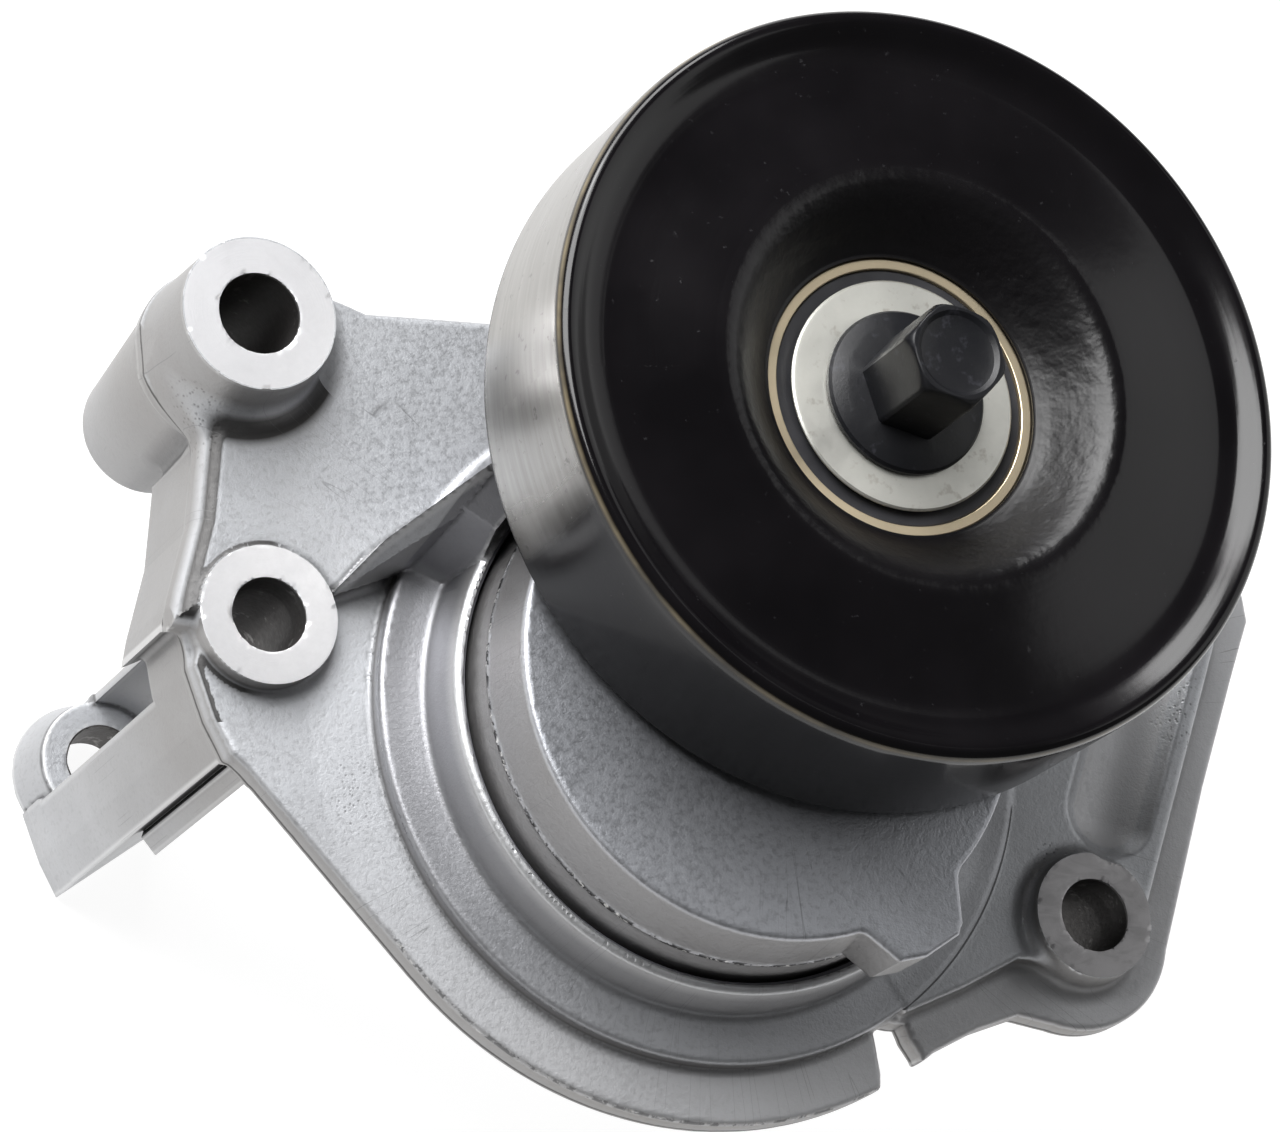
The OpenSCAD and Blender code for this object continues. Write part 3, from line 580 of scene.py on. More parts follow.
def cast_metal(name, pivot, light=(0.60, 0.61, 0.63), dark=(0.50, 0.505, 0.52), coarse=1.0, rough=0.50, faces=(), shaded_bores=(), chips=(), seams=(), low=None, painted_shade_zone=None, parting=None, peel=False):
    """Die-cast aluminium. faces are machined discs (centre, radius, height, colour), bores are holes with walls painted
    dark as painted shade (centre, radius, top), chips are ragged lines (radius, height, first and last angle), seams
    are thin arcs (radius, height, first and last angle)."""
    m, nt, b = nt_new(name)
    g = G(nt)
    b.inputs["Metallic"].default_value = 0.86
    cloud = g.noise(30.0, 5.0, 0.6)
    patch = g.noise(75.0, 4.0, 0.6)
    grain = g.noise(1300.0, 3.0, 0.6)
    fine = g.noise(3000.0, 2.0, 0.6)
    r, a, z = g.polar(pivot)
    flow = g.noise(1.0, 4.0, 0.6, co=g.vec(g.math("MULTIPLY", r, 0.05), g.math("MULTIPLY", a, 13.0), g.math("MULTIPLY", z, 0.12)), dist=0.6)
    pitmask = g.remap(g.noise(42.0, 2.0, 0.5), 0.66, 0.70, 0.0, 1.0)
    pit = g.math("MULTIPLY", g.remap(g.voronoi(1300.0), 0.08, 0.34, 0.8, 0.0), pitmask)
    col = g.mix(g.remap(cloud, 0.35, 0.65, 0.0, 1.0), dark, light)
    col = g.mix(g.math("MULTIPLY", g.remap(patch, 0.40, 0.66, 0.0, 1.0), 0.30), col, tuple(min(1, c * 1.14) for c in light))
    col = g.mix(g.math("MULTIPLY", g.remap(grain, 0.32, 0.50, 1.0, 0.0), 0.30), col, tuple(c * 0.62 for c in dark))
    col = g.mix(g.math("MULTIPLY", pit, 0.8), col, tuple(c * 0.30 for c in dark))
    # outer flange is rougher, and painted paler by an amount graded with the angle round the pivot, as painted light
    ro = g.math("ADD", g.remap(cloud, 0.3, 0.7, rough + 0.05, rough - 0.04), g.remap(grain, 0.35, 0.7, -0.04, 0.06))
    if low is not None:
        lm = g.math("MULTIPLY", g.remap(z, low[0], low[0] - 0.3, 0.0, 1.0), g.remap(z, low[1], low[1] + 0.5, 0.0, 1.0))
        lm = g.math("MULTIPLY", lm, g.remap(g.polar(low[2])[0], 14.0, 14.5, 0.0, 1.0))
        col = g.mix(g.math("MULTIPLY", lm, g.remap(g.math("ABSOLUTE", a), math.radians(115), math.radians(170), 0.60, 0.10)), col, (0.74, 0.73, 0.73))
        ro = g.math("ADD", ro, g.math("MULTIPLY", lm, 0.10))
    # upright sides are painted darker and warmer, more so higher up, as painted shade
    nz = nt.nodes.new("ShaderNodeSeparateXYZ")
    nt.links.new(nt.nodes.new("ShaderNodeNewGeometry").outputs["Normal"], nz.inputs[0])
    side = g.remap(nz.outputs[2], 0.45, 0.10, 0.0, 1.0)
    side_shade = g.math("ADD", g.remap(z, 8.0, 62.0, 0.16, 0.62), g.remap(cloud, 0.35, 0.65, -0.12, 0.12))
    col = g.mix(g.math("MULTIPLY", side, side_shade), col, (0.235, 0.220, 0.205))
    # faces turned up are tinted slightly cool, as a painted reflection
    col = g.mix(g.math("MULTIPLY", g.remap(nz.outputs[2], 0.75, 0.95, 0.0, 1.0), 0.5), col, (0.955, 0.975, 1.0), "MULTIPLY")
    if painted_shade_zone is not None:
        # painted shadow: the stop wall under the pulley is painted dark where the pulley's shadow falls on it
        zr0, zr1, zz, za0, za1 = painted_shade_zone
        stop_wall_shade = g.math("MULTIPLY", g.remap(r, zr0, zr0 + 0.3, 0.0, 1.0), g.remap(r, zr1, zr1 + 0.15, 1.0, 0.0))
        stop_wall_shade = g.math("MULTIPLY", stop_wall_shade, g.remap(z, zz, zz + 1.6, 0.0, 1.0))
        stop_wall_shade = g.math("MULTIPLY", stop_wall_shade, g.math("MULTIPLY", g.math("GREATER_THAN", a, math.radians(za0)), g.math("LESS_THAN", a, math.radians(za1))))
        col = g.mix(g.math("MULTIPLY", stop_wall_shade, 0.85), col, (0.17, 0.17, 0.185))
    if painted_shade_zone is not None:
        # painted shade: the rounded left edge of the raised plate is painted nearly black
        nzz = g.math("MULTIPLY", g.remap(nz.outputs[2], 0.55, 0.75, 0.0, 1.0), g.remap(nz.outputs[2], 0.975, 0.999, 1.0, 0.0))
        plate_edge_shade = g.math("MULTIPLY", g.math("MULTIPLY", nzz, g.remap(r, 63.0, 66.0, 0.0, 1.0)), g.math("MULTIPLY", g.math("GREATER_THAN", a, math.radians(138.0)), g.remap(z, 75.5, 76.5, 0.0, 1.0)))
        col = g.mix(g.math("MULTIPLY", plate_edge_shade, 0.93), col, (0.045, 0.043, 0.041))
        # painted shade on the raised ring, heavier towards the -x side by the angle round the pivot
        ring_shade = g.math("MULTIPLY", g.math("MULTIPLY", g.remap(r, 40.0, 40.5, 0.0, 1.0), g.remap(r, 48.3, 47.9, 0.0, 1.0)), g.remap(z, 79.0, 80.0, 0.0, 1.0))
        ring_shade = g.math("MULTIPLY", ring_shade, g.remap(g.math("ABSOLUTE", a), math.radians(110), math.radians(170), 0.30, 0.85))
        col = g.mix(g.math("MULTIPLY", ring_shade, g.remap(cloud, 0.35, 0.65, 0.75, 1.0)), col, (0.36, 0.36, 0.38))
    if parting is not None:
        pl = g.remap(g.math("ABSOLUTE", g.math("ADD", g.math("SUBTRACT", z, parting), g.math("MULTIPLY", g.math("SUBTRACT", g.noise(300.0, 3.0, 0.6), 0.5), 0.5))), 0.16, 0.38, 1.0, 0.0)
        pl = g.math("MULTIPLY", g.math("MULTIPLY", pl, side), g.remap(r, 44.0, 45.0, 0.0, 1.0))
        col = g.mix(g.math("MULTIPLY", pl, 0.85), col, (0.05, 0.047, 0.045))
    # bright rubbed edges, and inner corners painted darker as painted shade
    col = g.mix(g.remap(g.attr("edge"), 0.20, 0.62, 0.0, 0.42), col, (0.84, 0.84, 0.84))
    col = g.mix(g.remap(g.attr("corner"), 0.06, 0.55, 0.0, 0.75), col, (0.09, 0.088, 0.09))
    h = g.math("ADD", g.math("MULTIPLY", grain, 0.75), g.math("MULTIPLY", fine, 0.50))
    h = g.math("ADD", h, g.math("MULTIPLY", flow, 0.20))
    h = g.math("ADD", h, g.math("MULTIPLY", patch, 0.9))
    h = g.math("SUBTRACT", h, g.math("MULTIPLY", pit, 0.7))
    if peel:
        pm = g.remap(g.noise(34.0, 2.0, 0.5), 0.42, 0.70, 0.08, 0.8)
        h = g.math("ADD", h, g.math("MULTIPLY", g.math("MULTIPLY", g.noise(480.0, 2.0, 0.5, dist=1.2), 1.6), pm))
    # a few hairline scratches that run out from the pivot
    hair = g.noise(1.0, 0.0, 0.5, co=g.vec(g.math("MULTIPLY", a, 24.0), g.math("MULTIPLY", r, 0.016), 0.0))
    hair = g.remap(g.math("ABSOLUTE", g.math("SUBTRACT", hair, 0.5)), 0.0, 0.006, 1.0, 0.0)
    on = g.remap(g.noise(55.0, 2.0, 0.5), 0.54, 0.58, 0.0, 1.0)
    hair = g.math("MULTIPLY", hair, on)
    col = g.mix(g.math("MULTIPLY", hair, 0.55), col, tuple(c * 0.40 for c in dark))
    wob = g.math("MULTIPLY", g.math("SUBTRACT", g.noise(260.0, 3.0, 0.65), 0.5), 1.5)
    bits = g.remap(g.noise(520.0, 3.0, 0.7), 0.47, 0.53, 0.0, 1.0)
    glint = g.remap(g.noise(700.0, 3.0, 0.7), 0.58, 0.62, 0.0, 1.0)
    for cr, cz, a0, a1, width, amount in chips:
        span = g.math("MULTIPLY", g.remap(a, math.radians(a0), math.radians(a0) + 0.04, 0.0, 1.0), g.remap(a, math.radians(a1) - 0.04, math.radians(a1), 1.0, 0.0))
        dr = g.math("SUBTRACT", r, cr)
        dz = g.math("SUBTRACT", z, cz)
        dd = g.math("SQRT", g.math("ADD", g.math("MULTIPLY", dr, dr), g.math("MULTIPLY", dz, dz)))
        line = g.remap(g.math("ABSOLUTE", g.math("ADD", dd, g.math("MULTIPLY", wob, 0.5))), width * 0.5, width, 1.0, 0.0)
        line = g.math("MULTIPLY", g.math("MULTIPLY", line, span), amount)
        col = g.mix(g.math("MULTIPLY", line, bits), col, (0.015, 0.014, 0.014))
        col = g.mix(g.math("MULTIPLY", g.math("MULTIPLY", line, glint), 0.8), col, (0.92, 0.91, 0.88))
        h = g.math("SUBTRACT", h, g.math("MULTIPLY", g.math("MULTIPLY", line, bits), 1.6))
    for sr, sz, a0, a1, width in seams:
        span = g.math("MULTIPLY", g.remap(a, math.radians(a0), math.radians(a0) + 0.02, 0.0, 1.0), g.remap(a, math.radians(a1) - 0.02, math.radians(a1), 1.0, 0.0))
        line = g.math("MULTIPLY", g.remap(g.math("ABSOLUTE", g.math("SUBTRACT", r, sr)), width * 0.4, width, 1.0, 0.0), span)
        line = g.math("MULTIPLY", line, g.math("LESS_THAN", g.math("ABSOLUTE", g.math("SUBTRACT", z, sz)), 0.6))
        col = g.mix(g.math("MULTIPLY", line, 0.75), col, (0.05, 0.05, 0.05))
        h = g.math("SUBTRACT", h, g.math("MULTIPLY", line, 1.2))
    blot = g.noise(170.0, 4.0, 0.65)
    cuts = g.noise(1.0, 3.0, 0.6, co=g.scaled((190.0, 420.0, 190.0)), dist=1.0)
    for c, rad, z0, tint, streak in faces:
        fr, fa, fz = g.polar(c)
        mk = g.math("MULTIPLY", g.math("LESS_THAN", fr, rad), g.math("LESS_THAN", g.math("ABSOLUTE", g.math("SUBTRACT", fz, z0)), 0.12))
        cut = g.mix(g.remap(blot, 0.38, 0.66, 0.0, 1.0), tint, tuple(q * 0.88 for q in tint))
        if streak:
            cut = g.mix(g.remap(cuts, 0.46, 0.62, 0.0, streak), cut, tuple(q * 0.55 for q in tint))
        col = g.mix(mk, col, cut)
        turned = g.noise(1.0, 2.0, 0.5, co=g.vec(g.math("MULTIPLY", fr, 5.0), g.math("MULTIPLY", fa, 1.5), 0.0))
        keep = g.math("SUBTRACT", 1.0, mk)
        h = g.math("ADD", g.math("MULTIPLY", h, keep), g.math("MULTIPLY", g.math("MULTIPLY", turned, 0.18), mk))
        ro = g.math("ADD", g.math("MULTIPLY", ro, keep), g.math("MULTIPLY", g.remap(blot, 0.3, 0.7, 0.42, 0.50), mk))
    # bore walls are painted dark, with lighter patches, as painted shade
    for c, rad, z0 in shaded_bores:
        fr, fa, fz = g.polar(c)
        mk = g.math("MULTIPLY", g.math("LESS_THAN", fr, rad), g.remap(fz, z0 - 0.2, z0 - 0.6, 0.0, 1.0))
        bore_shade_colour = g.mix(g.remap(g.noise(240.0, 4.0, 0.7), 0.60, 0.72, 0.0, 0.7), (0.085, 0.080, 0.078), (0.42, 0.41, 0.40))
        col = g.mix(mk, col, bore_shade_colour)
    g.put(b.inputs["Base Color"], col)
    g.put(b.inputs["Roughness"], ro)
    g.put(b.inputs["Normal"], g.bump(h, 0.5, 0.00011 * coarse))
    return m


def plain_metal(name, base, rough=0.3, metal=1.0, centre=None, grooves=0.0, spots=None, spot_amount=0.0, bump=0.00003, coat=0.0):
    m, nt, b = nt_new(name)
    g = G(nt)
    b.inputs["Metallic"].default_value = metal
    if coat:
        b.inputs["Coat Weight"].default_value = coat
        b.inputs["Coat Roughness"].default_value = 0.08
    blot = g.noise(110.0, 4.0, 0.6)
    col = g.mix(g.remap(blot, 0.35, 0.7, 0.0, 1.0), base, tuple(c * 0.80 for c in base))
    if spots:
        sp = g.remap(g.noise(420.0, 3.0, 0.65), 0.60, 0.70, 0.0, spot_amount)
        col = g.mix(sp, col, spots)
    g.put(b.inputs["Base Color"], col)
    g.put(b.inputs["Roughness"], g.remap(blot, 0.3, 0.7, rough * 0.85, rough * 1.2))
    h = g.noise(1400.0, 3.0, 0.6)
    if centre is not None:
        r, a, z = g.polar(centre)
        turn = g.noise(1.0, 2.0, 0.5, co=g.vec(g.math("MULTIPLY", r, 9.0), g.math("MULTIPLY", a, 0.6), g.math("MULTIPLY", z, 5.0)))
        h = g.math("ADD", g.math("MULTIPLY", h, 0.5), g.math("MULTIPLY", turn, grooves))
    g.put(b.inputs["Normal"], g.bump(h, 0.4, bump))
    return m


def black_coat(name):
    """Gloss black coat over drawn steel with orange peel round the cone; the belt face is satin metal only over one arc
    of angles, as a painted reflection.
    """
    m, nt, b = nt_new(name)
    g = G(nt)
    b.inputs["IOR"].default_value = 1.45
    r, a, z = g.polar(PUL)
    dust = g.remap(g.noise(800.0, 3.0, 0.6), 0.68, 0.75, 0.0, 0.10)
    cloud = g.noise(45.0, 3.0, 0.5)
    col = g.mix(g.remap(cloud, 0.35, 0.7, 0.0, 1.0), (0.0022, 0.0018, 0.0024), (0.0050, 0.0042, 0.0052))
    col = g.mix(dust, col, (0.10, 0.10, 0.11))
    ro = g.math("ADD", g.remap(cloud, 0.3, 0.7, 0.13, 0.19), g.math("MULTIPLY", dust, 1.5))
    ro = g.math("ADD", ro, g.remap(r, 27.0, 31.0, 0.20, 0.0))
    # belt face: satin metal only over one arc of angles, as a painted reflection
    belt = g.math("MULTIPLY", g.remap(r, 52.55, 52.75, 0.0, 1.0), g.math("MULTIPLY", g.remap(z, 107.0, 107.6, 0.0, 1.0), g.remap(z, 131.4, 130.9, 0.0, 1.0)))
    wave = g.math("MULTIPLY", g.math("SUBTRACT", g.noise(40.0, 3.0, 0.5), 0.5), 0.12)
    aw = g.math("ADD", a, wave)
    belt_reflection_arc = g.math("MAXIMUM", g.remap(a, math.radians(60), math.radians(85), 0.0, 1.0), g.remap(aw, math.radians(-168), math.radians(-158), 1.0, 0.0))
    belt = g.math("MULTIPLY", belt, belt_reflection_arc)
    streak = g.noise(1.0, 3.0, 0.6, co=g.vec(g.math("MULTIPLY", a, 3.0), 0.0, g.math("MULTIPLY", z, 0.8)))
    tint = g.mix(g.remap(streak, 0.35, 0.68, 0.0, 1.0), (0.30, 0.29, 0.275), (0.37, 0.36, 0.345))
    tint = g.mix(g.remap(g.noise(500.0, 3.0, 0.6), 0.64, 0.70, 0.0, 0.5), tint, (0.10, 0.095, 0.09))
    col = g.mix(belt, col, tint)
    ro = g.math("ADD", ro, g.math("MULTIPLY", belt, 0.14))
    # thin golden line at the lip's outer edge
    lip = g.math("MULTIPLY", g.remap(g.math("ABSOLUTE", g.math("SUBTRACT", r, 52.75)), 0.0, 0.30, 1.0, 0.0), g.remap(z, 131.3, 131.9, 0.0, 1.0))
    col = g.mix(g.math("MULTIPLY", lip, g.remap(g.noise(120.0, 3.0, 0.6), 0.35, 0.65, 0.1, 0.5)), col, (0.34, 0.27, 0.15))
    g.put(b.inputs["Base Color"], col)
    g.put(b.inputs["Metallic"], belt)
    g.put(b.inputs["Roughness"], ro)
    peel = g.noise(520.0, 2.0, 0.5)
    conezone = g.math("MULTIPLY", g.remap(r, 20.0, 21.5, 0.3, 1.0), g.remap(r, 28.0, 31.0, 1.0, 0.06))
    h = g.math("MULTIPLY", g.math("MULTIPLY", peel, conezone), 1.5)
    turn = g.noise(1.0, 2.0, 0.5, co=g.vec(g.math("MULTIPLY", r, 2.2), g.math("MULTIPLY", a, 0.25), g.math("MULTIPLY", z, 1.2)))
    h = g.math("ADD", h, g.math("MULTIPLY", turn, 0.10))
    g.put(b.inputs["Normal"], g.bump(h, 0.6, 0.00016))
    return m


def soft_black(name, base=(0.012, 0.012, 0.013), rough=0.55, grain=900.0, bump=0.00005):
    m, nt, b = nt_new(name)
    g = G(nt)
    n1 = g.noise(grain, 3.0, 0.6)
    n2 = g.noise(90.0, 3.0, 0.6)
    col = g.mix(g.remap(n2, 0.35, 0.7, 0.0, 1.0), base, tuple(min(1.0, c * 1.7 + 0.004) for c in base))
    g.put(b.inputs["Base Color"], col)
    g.put(b.inputs["Roughness"], g.remap(n1, 0.3, 0.7, rough - 0.08, rough + 0.1))
    g.put(b.inputs["Normal"], g.bump(n1, 0.5, bump))
    return m


MAT = {
    "cast": cast_metal("cast_bracket", PIV, faces=[
        ((PIV[0] + BA[0], PIV[1] + BA[1]), 10.75, 90.8, (0.86, 0.86, 0.88), 0.0), ((PIV[0] + BB[0], PIV[1] + BB[1]), 9.75, 81.7, (0.86, 0.86, 0.88), 0.0),
        # the machined faces of bosses C and D are given a darker colour than A and B, as painted shade
        ((PIV[0] + BC[0], PIV[1] + BC[1]), 9.0, 84.3, (0.56, 0.55, 0.56), 0.35), ((PIV[0] + BD[0], PIV[1] + BD[1]), 8.7, 84.3, (0.56, 0.55, 0.56), 0.35),
        ((0.0, 0.0), 11.5, 0.0, (0.8, 0.8, 0.8), 0.0), ((PIV[0] + BA[0], PIV[1] + BA[1]), 9.6, 42.0, (0.8, 0.8, 0.8), 0.0),
        ((PIV[0] + BC[0], PIV[1] + BC[1]), 9.4, 58.0, (0.7, 0.7, 0.7), 0.0), ((PIV[0] + BD[0], PIV[1] + BD[1]), 9.2, 58.0, (0.7, 0.7, 0.7), 0.0)],
        shaded_bores=[((PIV[0] + BA[0], PIV[1] + BA[1]), 6.0, 90.8), ((PIV[0] + BB[0], PIV[1] + BB[1]), 5.5, 81.7), ((PIV[0] + BC[0], PIV[1] + BC[1]), 5.5, 84.3),
               ((PIV[0] + BD[0], PIV[1] + BD[1]), 5.5, 84.3)],
        chips=[(48.25, 80.6, -179.9, -100.0, 0.34, 0.75), (48.25, 80.6, 156.0, 179.9, 0.34, 0.9), (47.75, 88.0, 146.0, 155.0, 0.5, 1.0), (55.6, 77.9, -150.0, -62.0, 0.4, 0.5)],
        seams=[(48.1, 81.5, -60.0, -13.0, 0.17)], low=(80.0, 76.0, (PIV[0] + BA[0], PIV[1] + BA[1])), painted_shade_zone=(40.6, 47.9, 82.0, 104.0, 155.0), parting=74.9),
    "castarm": cast_metal("cast_arm", PIV, light=(0.56, 0.57, 0.60), dark=(0.46, 0.465, 0.49), coarse=1.1, rough=0.46, peel=True,
                          chips=[(37.3, 94.2, -179.9, -60.0, 0.5, 0.9), (37.3, 94.2, 120.0, 179.9, 0.5, 0.9)]),
    "coat": black_coat("black_coat"),
    "bolt": plain_metal("bolt_black", (0.0065, 0.0068, 0.009), rough=0.40, metal=0.12, spots=(0.04, 0.04, 0.05), spot_amount=0.5, bump=0.00005),
    "race": plain_metal("race_steel", (0.98, 0.84, 0.60), rough=0.46, centre=PUL, grooves=0.6),
    "zinc": plain_metal("zinc_plate", (0.96, 0.955, 0.89), rough=0.48, centre=PUL, grooves=0.15, spots=(0.50, 0.46, 0.40), spot_amount=0.45, bump=0.00005),
    "lip": soft_black("seal_lip", base=(0.10, 0.10, 0.112), rough=0.42),
    "seal": soft_black("seal_rubber", base=(0.022, 0.022, 0.025), rough=0.42),
    "steel": plain_metal("ground_steel", (0.60, 0.60, 0.61), rough=0.28, centre=PIV, grooves=0.8),
    "ball": plain_metal("ball_steel", (0.82, 0.82, 0.84), rough=0.08),
    "cage": plain_metal("cage_steel", (0.62, 0.60, 0.55), rough=0.36),
    "bronze": plain_metal("bush_bronze", (0.62, 0.45, 0.22), rough=0.4),
    "polymer": soft_black("damper_polymer", base=(0.03, 0.028, 0.026), rough=0.6),
    "washer": soft_black("washer_polymer", base=(0.05, 0.045, 0.04), rough=0.5),
    "nylon": soft_black("nylon_sleeve", base=(0.62, 0.61, 0.56), rough=0.45),
    "spring": soft_black("spring_coat", base=(0.05, 0.05, 0.055), rough=0.4),
    "band": plain_metal("band_steel", (0.60, 0.60, 0.62), rough=0.3),
}


def paint(o, *mats):
    o.data.materials.clear()
    for m in mats:
        o.data.materials.append(MAT[m])


def edge_attributes(o, field, shift, nr, reach=0.9):
    """Marks outer edges and inner corners from how the field bends, for the material's edge wear and its painted corner
    shade.
    """
    me = o.data
    n = len(me.vertices)
    v = np.empty(n * 3, dtype=np.float32)
    me.vertices.foreach_get("co", v)
    v = v.reshape(-1, 3) / MM - np.array([shift[0], shift[1], 0], dtype=np.float32)
    p = v + nr * reach
    q = v - nr * reach
    out = field(p[:, 0].astype(F), p[:, 1].astype(F), p[:, 2].astype(F))
    inn = field(q[:, 0].astype(F), q[:, 1].astype(F), q[:, 2].astype(F))
    corner = np.clip((reach - out) / reach, 0, 1).astype(np.float32)
    edge = np.clip((reach + inn) / reach, 0, 1).astype(np.float32)
    for name, val in (("edge", edge), ("corner", corner)):
        a = me.attributes.new(name, "FLOAT", "POINT")
        a.data.foreach_set("value", val)
    return v


# ------------------------------------------------------------------ pieces
H = 0.55


def casting(name, field, lo, hi, mat, node, body):
    v, f = Sparse(field, lo, hi, H).mesh()
    o, g = make_mesh(name, v, f, PIV, field)
    edge_attributes(o, field, PIV, g)
    paint(o, mat)
    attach(o, body)
    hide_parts(node)
    return o


def turned(name, profile, centre, mat, node, body, slot, **kw):
    o = lathe(name, profile, centre, **kw)
    paint(o, mat)
    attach(o, body)
    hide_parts(node)
    return o


casting("bracket_casting", bracket, (-78.5, -58.5, -2.5), (95.0, 66.5, 104.0), "cast", "base_bracket", "bracket")
casting("arm_casting", arm, (-41.0, -42.5, 60.0), (49.0, 56.0, 114.0), "castarm", "tensioner_arm", "arm")

# pulley: pressed steel, with the drawn lip, the shallow dished web and the cone down to the bearing
R0, ZF = 53.0, 133.0
front = spline([(R0 - 0.02, 129.6), (R0 - 0.10, 131.2), (R0 - 0.42, 132.25), (R0 - 1.05, 132.85), (R0 - 1.75, 132.93), (R0 - 2.5, 132.6),
                (R0 - 3.5, 131.95), (R0 - 4.5, 131.3), (R0 - 5.5, 130.85), (R0 - 6.8, 130.62), (R0 - 8.5, 130.6), (R0 - 12.0, 131.1),
                (R0 - 16.0, 131.85), (R0 - 20.0, 132.6), (R0 - 22.4, 132.98), (R0 - 23.8, 133.0), (R0 - 25.2, 132.55), (R0 - 26.9, 131.2), (R0 - 29.3, 128.6),
                (R0 - 31.2, 126.5), (R0 - 32.3, 125.55), (20.2, 125.15)], 5)
back = [(19.78, 125.1), (19.78, 124.62), (20.0, 124.6), (20.0, 112.42), (22.6, 112.42), (22.6, 123.8), (25.2, 127.0), (28.4, 130.2), (30.5, 130.5),
        (R0 - 20, 130.1), (R0 - 15, 128.9), (R0 - 10, 127.9), (R0 - 7.0, 127.8), (R0 - 4.6, 126.8), (R0 - 2.62, 123.4), (R0 - 2.62, 107.0),
        (R0 - 2.2, 106.55), (R0 - 0.45, 106.5), (R0 - 0.03, 106.95)]
turned("pulley_pressing", front + back, PUL, "coat", "pulley_wheel", "pulley", "black_coat", seg=360, angle=40)

zb = 112.6
groove = [(14.25 + 3.43 * math.cos(t), 118.6 + 3.43 * math.sin(t)) for t in np.radians(np.linspace(-46, 46, 13))]
turned("bearing_race_outer", [(16.65, zb + 1.95), (18.25, zb + 1.95), (18.3, zb + 0.05), (19.55, zb + 0.02), (19.97, zb + 0.4), (19.97, 124.2), (19.55, 124.58), (18.4, 124.58),
       (18.3, 124.5), (18.3, 122.72), (16.65, 122.7)] + groove[::-1], PUL, "race", "bearing_outer_ring", "pulley", "race_steel", seg=300)
groove = [(14.25 - 3.43 * math.cos(t), 118.6 - 3.43 * math.sin(t)) for t in np.radians(np.linspace(-44, 44, 13))]
turned("bearing_race_inner", [(8.52, zb + 0.4), (8.9, zb + 0.02), (11.7, zb + 0.02), (11.78, zb + 0.1)] + groove[::-1] + [(11.78, 124.5), (11.7, 124.58), (8.9, 124.58), (8.52, 124.2)],
       PUL, "race", "bearing_inner_ring", "arm", "race_steel", seg=240)
turned("seal_front", [(12.15, 123.32), (12.15, 124.0), (12.5, 124.1), (13.4, 123.95), (15.5, 123.9), (17.4, 124.05), (18.0, 124.1), (18.28, 123.9), (18.28, 122.72), (17.25, 122.72), (17.2, 123.3)],
       PUL, "seal", "bearing_seal_front", "pulley", "seal_rubber", seg=240)
turned("seal_rear", [(12.15, 113.88), (12.15, 113.2), (12.5, 113.1), (13.4, 113.25), (15.5, 113.3), (17.4, 113.15), (18.0, 113.1), (18.28, 113.3), (18.28, 114.48), (17.25, 114.48), (17.2, 113.9)],
       PUL, "seal", "bearing_seal_rear", "pulley", "seal_rubber", seg=240)
turned("zinc_washer", [(5.12, 124.62), (15.5, 124.62), (16.25, 124.78), (16.36, 124.95), (16.36, 125.2), (16.1, 125.44), (15.7, 125.49), (5.3, 125.49), (5.12, 125.35)],
       PUL, "zinc", "dust_shield_front", "arm", "zinc", seg=300)
turned("rear_washer", [(5.12, 111.62), (15.85, 111.62), (15.98, 111.75), (15.98, 112.45), (15.85, 112.58), (5.12, 112.58)], PUL, "zinc", "dust_shield_rear", "arm", "zinc", seg=200)
turned("bolt_sleeve", [(5.12, zb + 0.1), (5.3, zb + 0.02), (8.3, zb + 0.02), (8.48, zb + 0.2), (8.48, 124.4), (8.3, 124.58), (5.3, 124.58), (5.12, 124.5)], PUL, "steel", "bearing_sleeve", "arm", "shaft_steel", seg=160)

# flange bolt with a tall hexagon
HEX = math.radians(43.0)


def hexagon(r, z, th):
    """Above the flange the section is a hexagon cut by a chamfer cone; r is negative there and is minus the cone's radius."""
    if r >= 0:
        return np.full(len(th), r)
    k = (th - HEX + math.pi / 6) % (math.pi / 3) - math.pi / 6
    a = 6.5 / np.maximum(np.cos(np.abs(k) - math.pi / 6), 0.2)
    a = 6.5 / np.cos((th - HEX) % (math.pi / 3) - math.pi / 6)
    a = np.minimum(a, 7.36)
    p = 26.0
    return (a ** -p + abs(r) ** -p) ** (-1 / p)


fz = 125.5
bolt = [(0.01, 97.0), (4.2, 97.0), (4.95, 98.0), (4.95, fz + 0.02), (11.1, fz + 0.02), (11.58, fz + 0.35), (11.55, fz + 0.9), (11.2, fz + 1.35), (10.5, fz + 1.65), (9.6, fz + 1.95), (8.9, fz + 2.2)]
bolt += [(-9.0, fz + 2.55), (-9.0, fz + 3.2), (-9.0, fz + 6.0), (-9.0, fz + 9.0), (-9.0, fz + 12.0), (-9.0, fz + 14.0), (-8.3, fz + 14.6), (-7.7, fz + 15.2), (-7.3, fz + 15.75), (-7.05, fz + 16.15),
         (-6.85, fz + 16.42), (-6.65, fz + 16.58), (-6.4, fz + 16.64), (5.95, fz + 16.60), (5.7, fz + 16.4), (5.35, fz + 16.1), (4.6, fz + 15.88), (2.6, fz + 15.76), (0.01, fz + 15.74)]
turned("flange_bolt", bolt, PUL, "bolt", "pulley_bolt", "arm", "bolt_black", seg=240, radius=hexagon, closed=False, angle=24)

for node, mat in {"pivot_shaft": "steel", "pivot_bush": "bronze", "thrust_washer_front": "washer", "thrust_washer_rear": "washer", "pivot_cap": "washer",
                  "torsion_spring": "spring", "spring_sleeve": "nylon", "spring_seat": "polymer", "damper_shoe": "polymer", "damper_band": "band",
                  "dust_seal": "lip", "bearing_balls": "ball", "bearing_cage": "cage"}.items():
    paint(nodes[node], mat)

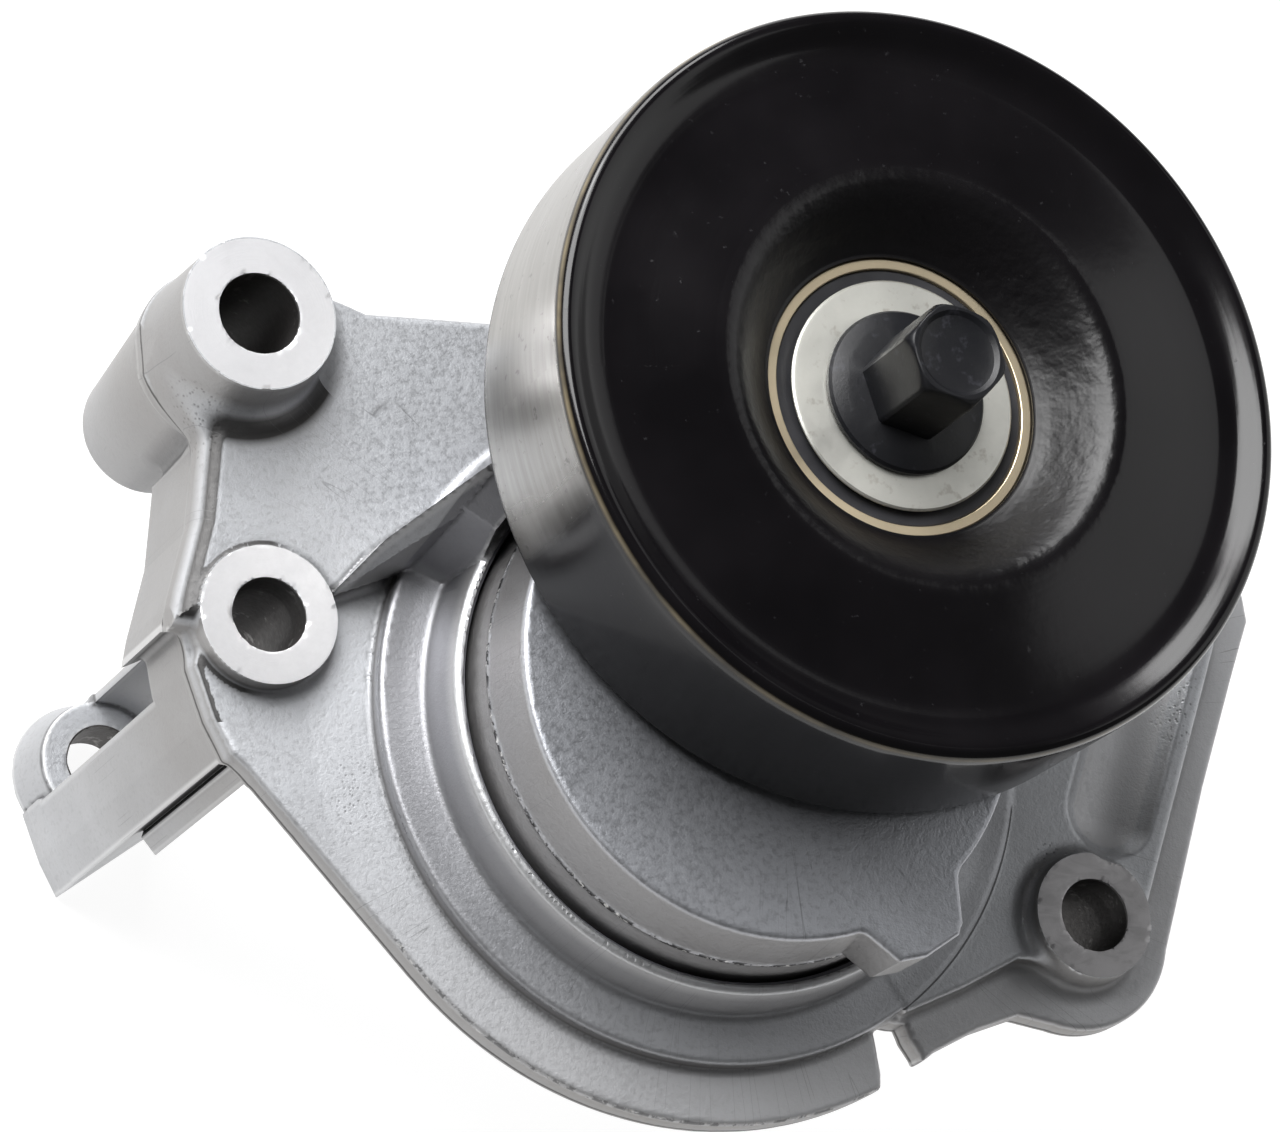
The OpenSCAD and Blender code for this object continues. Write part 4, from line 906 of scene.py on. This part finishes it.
# ------------------------------------------------------------------ camera, floor, light
sc = bpy.context.scene
cam = bpy.data.cameras.new("camera")
cam.lens, cam.sensor_width, cam.sensor_fit = 145.17, 36.0, "HORIZONTAL"
cam.clip_start, cam.clip_end = 0.05, 20.0
co = bpy.data.objects.new("camera", cam)
X, Y, Z = (0.91155, -0.09838, 0.39924), (-0.03025, 0.95228, 0.30372), (-0.41007, -0.28893, 0.86508)
co.matrix_world = Matrix(((X[0], Y[0], Z[0], -0.23861), (X[1], Y[1], Z[1], -0.19858), (X[2], Y[2], Z[2], 0.70186), (0, 0, 0, 1)))
sc.collection.objects.link(co)
sc.camera = co

bm = bmesh.new()
bmesh.ops.create_grid(bm, x_segments=1, y_segments=1, size=3.0)
fme = bpy.data.meshes.new("floor")
bm.to_mesh(fme)
bm.free()
floor = bpy.data.objects.new("floor", fme)
floor.location = (0.07, 0.0, -0.0004)
sc.collection.objects.link(floor)
fm, nt, b = nt_new("floor_white")
b.inputs["Base Color"].default_value = (0.22, 0.22, 0.22, 1)
b.inputs["Roughness"].default_value = 0.9
b.inputs["Specular IOR Level"].default_value = 0.1
b.inputs["Emission Color"].default_value = (1, 1, 1, 1)
b.inputs["Emission Strength"].default_value = 0.92
fme.materials.append(fm)


def softbox(name, direction, dist, size, watts, target=(0.06, 0.0, 0.09), colour=(1, 1, 1)):
    l = bpy.data.lights.new(name, "AREA")
    l.shape, l.size, l.size_y = "RECTANGLE", size[0], size[1]
    l.energy, l.color = watts, colour
    o = bpy.data.objects.new(name, l)
    d = Vector(direction).normalized()
    o.location = Vector(target) + d * dist
    o.rotation_euler = (-d).to_track_quat("-Z", "Y").to_euler()
    sc.collection.objects.link(o)
    return o


softbox("key", (-0.47, 0.50, 0.73), 0.60, (0.50, 0.50), 7.0, target=(0.0, 0.03, 0.09))
softbox("back", (-0.12, 0.86, 0.50), 0.75, (0.50, 0.30), 3.6, target=(0.0, 0.03, 0.09))
softbox("right", (0.86, 0.16, 0.48), 0.8, (0.60, 0.80), 1.1, target=(0.09, 0.0, 0.11))

world = bpy.data.worlds.new("studio")
sc.world = world
world.use_nodes = True
wn = world.node_tree
bg = wn.nodes["Background"]
bg.inputs[0].default_value = (1, 1, 1, 1)
bg.inputs[1].default_value = 0.085
sc.view_settings.view_transform = "Standard"
sc.view_settings.look = "None"
